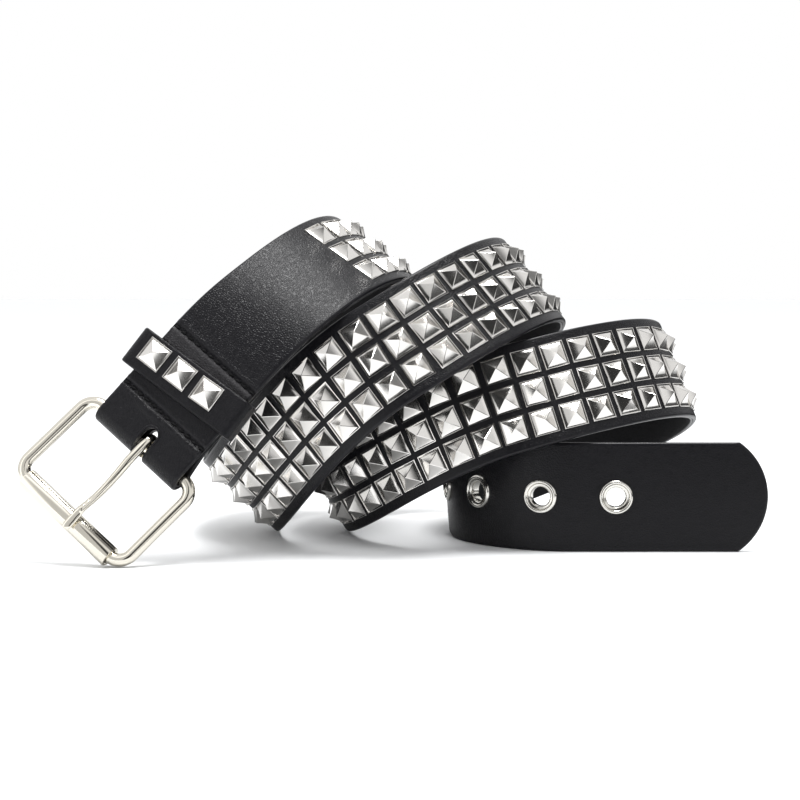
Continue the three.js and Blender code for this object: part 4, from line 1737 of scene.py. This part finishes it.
def floor_material(stage):
    """A pale floor. The belt's reflections see a darker copy of it, painted shade: dark far in front,
    at the right and behind, less dark beneath the belt as a painted shadow, and a little dark
    everywhere."""
    material, tree, shader, place = new_material("pale_floor")
    shader.inputs["Base Color"].default_value = tuple(stage.floor_colour) + (1.0,)
    shader.inputs["Roughness"].default_value = 0.55
    shader.inputs["Specular IOR Level"].default_value = 0.2
    # The darker copy of the floor: painted shade for glossy rays.
    shaded = add_node(
        tree,
        "ShaderNodeBsdfPrincipled",
        {"Base Color": (0.05, 0.05, 0.05, 1.0), "Roughness": 0.8, "Specular IOR Level": 0.0},
    )
    fading = 1.3
    left_start, left_end = -0.13, -0.06
    back_start, back_end = 0.28, 0.42
    beneath_shift, beneath_shape = (0.02, -0.02, 0.0), (1.0, 1.6, 1.0)
    beneath_outer, beneath_inner, beneath_share = 0.13, 0.07, 0.6
    # Painted shade: the floor a little dark everywhere in reflections.
    least = 0.2
    x, y, _ = add_node(tree, "ShaderNodeSeparateXYZ", {0: place}).outputs
    front = smooth_step(tree, y, -stage.dark_floor, -stage.dark_floor * fading)
    not_left = smooth_step(tree, x, left_start, left_end)
    front = math_node(tree, "MULTIPLY", front, not_left)
    right = smooth_step(tree, x, stage.dark_right, stage.dark_right * fading)
    back = smooth_step(tree, y, back_start, back_end)
    far = math_node(tree, "MAXIMUM", front, math_node(tree, "MAXIMUM", right, back))
    # Painted shadow beneath the belt, seen in reflections.
    centred = add_node(
        tree, "ShaderNodeVectorMath", {0: place, 1: beneath_shift}, operation="ADD"
    )
    shaped = add_node(
        tree, "ShaderNodeVectorMath", {0: centred.outputs[0], 1: beneath_shape}, operation="MULTIPLY"
    )
    reach = add_node(tree, "ShaderNodeVectorMath", {0: shaped.outputs[0]}, operation="LENGTH")
    beneath = smooth_step(tree, reach.outputs["Value"], beneath_outer, beneath_inner)
    beneath = math_node(tree, "MULTIPLY", beneath, beneath_share)
    far = math_node(tree, "MAXIMUM", far, beneath)
    far = math_node(tree, "MAXIMUM", far, least)
    glossy = tree.nodes.new("ShaderNodeLightPath").outputs["Is Glossy Ray"]
    dark = math_node(tree, "MULTIPLY", far, glossy)
    mixed = add_node(
        tree, "ShaderNodeMixShader", {0: dark, 1: shader.outputs[0], 2: shaded.outputs[0]}
    )
    out = tree.nodes["Material Output"]
    tree.links.new(mixed.outputs[0], out.inputs["Surface"])
    return material


class BELT_OT_make_stage(bpy.types.Operator):
    """Sets the pale floor, the studio lights and the camera"""

    bl_idname = "belt.make_stage"
    bl_label = "Stage"

    def execute(self, context):
        scene = context.scene
        stage = scene.belt_stage
        half = stage.floor_size / 2
        corners = [(-half, -half, 0), (half, -half, 0), (half, half, 0), (-half, half, 0)]
        floor = link_mesh("floor", mesh_from("floor", corners, [(0, 1, 2, 3)]))
        floor.data.materials.append(floor_material(stage))

        make_world(stage)
        sun_light(stage)
        area_light("top_light", (0.16, -0.12, 1.3), (0.5, 0.5), stage.top_light)
        area_light("left_card", (-0.32, -0.21, 0.22), (0.45, 0.44), stage.card, (0.02, 0.73, 0.22))

        camera = bpy.data.cameras.new("camera")
        camera.lens = stage.lens
        camera.sensor_width = 36.0
        camera.clip_start = 0.01
        camera.clip_end = 50.0
        viewer = bpy.data.objects.new("camera", camera)
        scene.collection.objects.link(viewer)
        tail = placed_route(scene).at(0.0).origin
        viewer.location = (stage.camera_side, tail.y - stage.camera_distance, stage.camera_height)
        viewer.rotation_euler = (math.pi / 2 - stage.camera_pitch, 0.0, 0.0)
        scene.camera = viewer
        scene.view_settings.view_transform = "Standard"
        return {"FINISHED"}


# The sidebar
class BELT_PT_panel(bpy.types.Panel):
    """Buttons for each piece of the belt"""

    bl_idname = "BELT_PT_panel"
    bl_label = "Studded belt"
    bl_space_type = "VIEW_3D"
    bl_region_type = "UI"
    bl_category = "Belt"

    def draw(self, context):
        for operator in OPERATORS:
            self.layout.operator(operator.bl_idname)
        for name in SETTINGS:
            box = self.layout.box()
            group = getattr(context.scene, name)
            for key in group.bl_rna.properties.keys():
                if key not in ("rna_type", "name"):
                    box.prop(group, key)


OPERATORS = (
    BELT_OT_make_stage,
    BELT_OT_make_leather,
    BELT_OT_make_studs,
    BELT_OT_make_eyelets,
    BELT_OT_make_stitches,
    BELT_OT_make_keeper,
    BELT_OT_make_buckle_frame,
    BELT_OT_make_roller,
    BELT_OT_make_prong,
)
CLASSES = tuple(SETTINGS.values()) + OPERATORS + (BELT_PT_panel,)


def register():
    for cls in CLASSES:
        bpy.utils.register_class(cls)
    for name, group in SETTINGS.items():
        setattr(bpy.types.Scene, name, bpy.props.PointerProperty(type=group))


def unregister():
    for name in SETTINGS:
        delattr(bpy.types.Scene, name)
    for cls in reversed(CLASSES):
        bpy.utils.unregister_class(cls)


def main():
    register()
    bpy.ops.belt.make_stage()
    bpy.ops.belt.make_leather()
    bpy.ops.belt.make_studs()
    bpy.ops.belt.make_eyelets()
    bpy.ops.belt.make_stitches()
    bpy.ops.belt.make_keeper()
    bpy.ops.belt.make_buckle_frame()
    bpy.ops.belt.make_roller()
    bpy.ops.belt.make_prong()


if __name__ == "__main__":
    main()
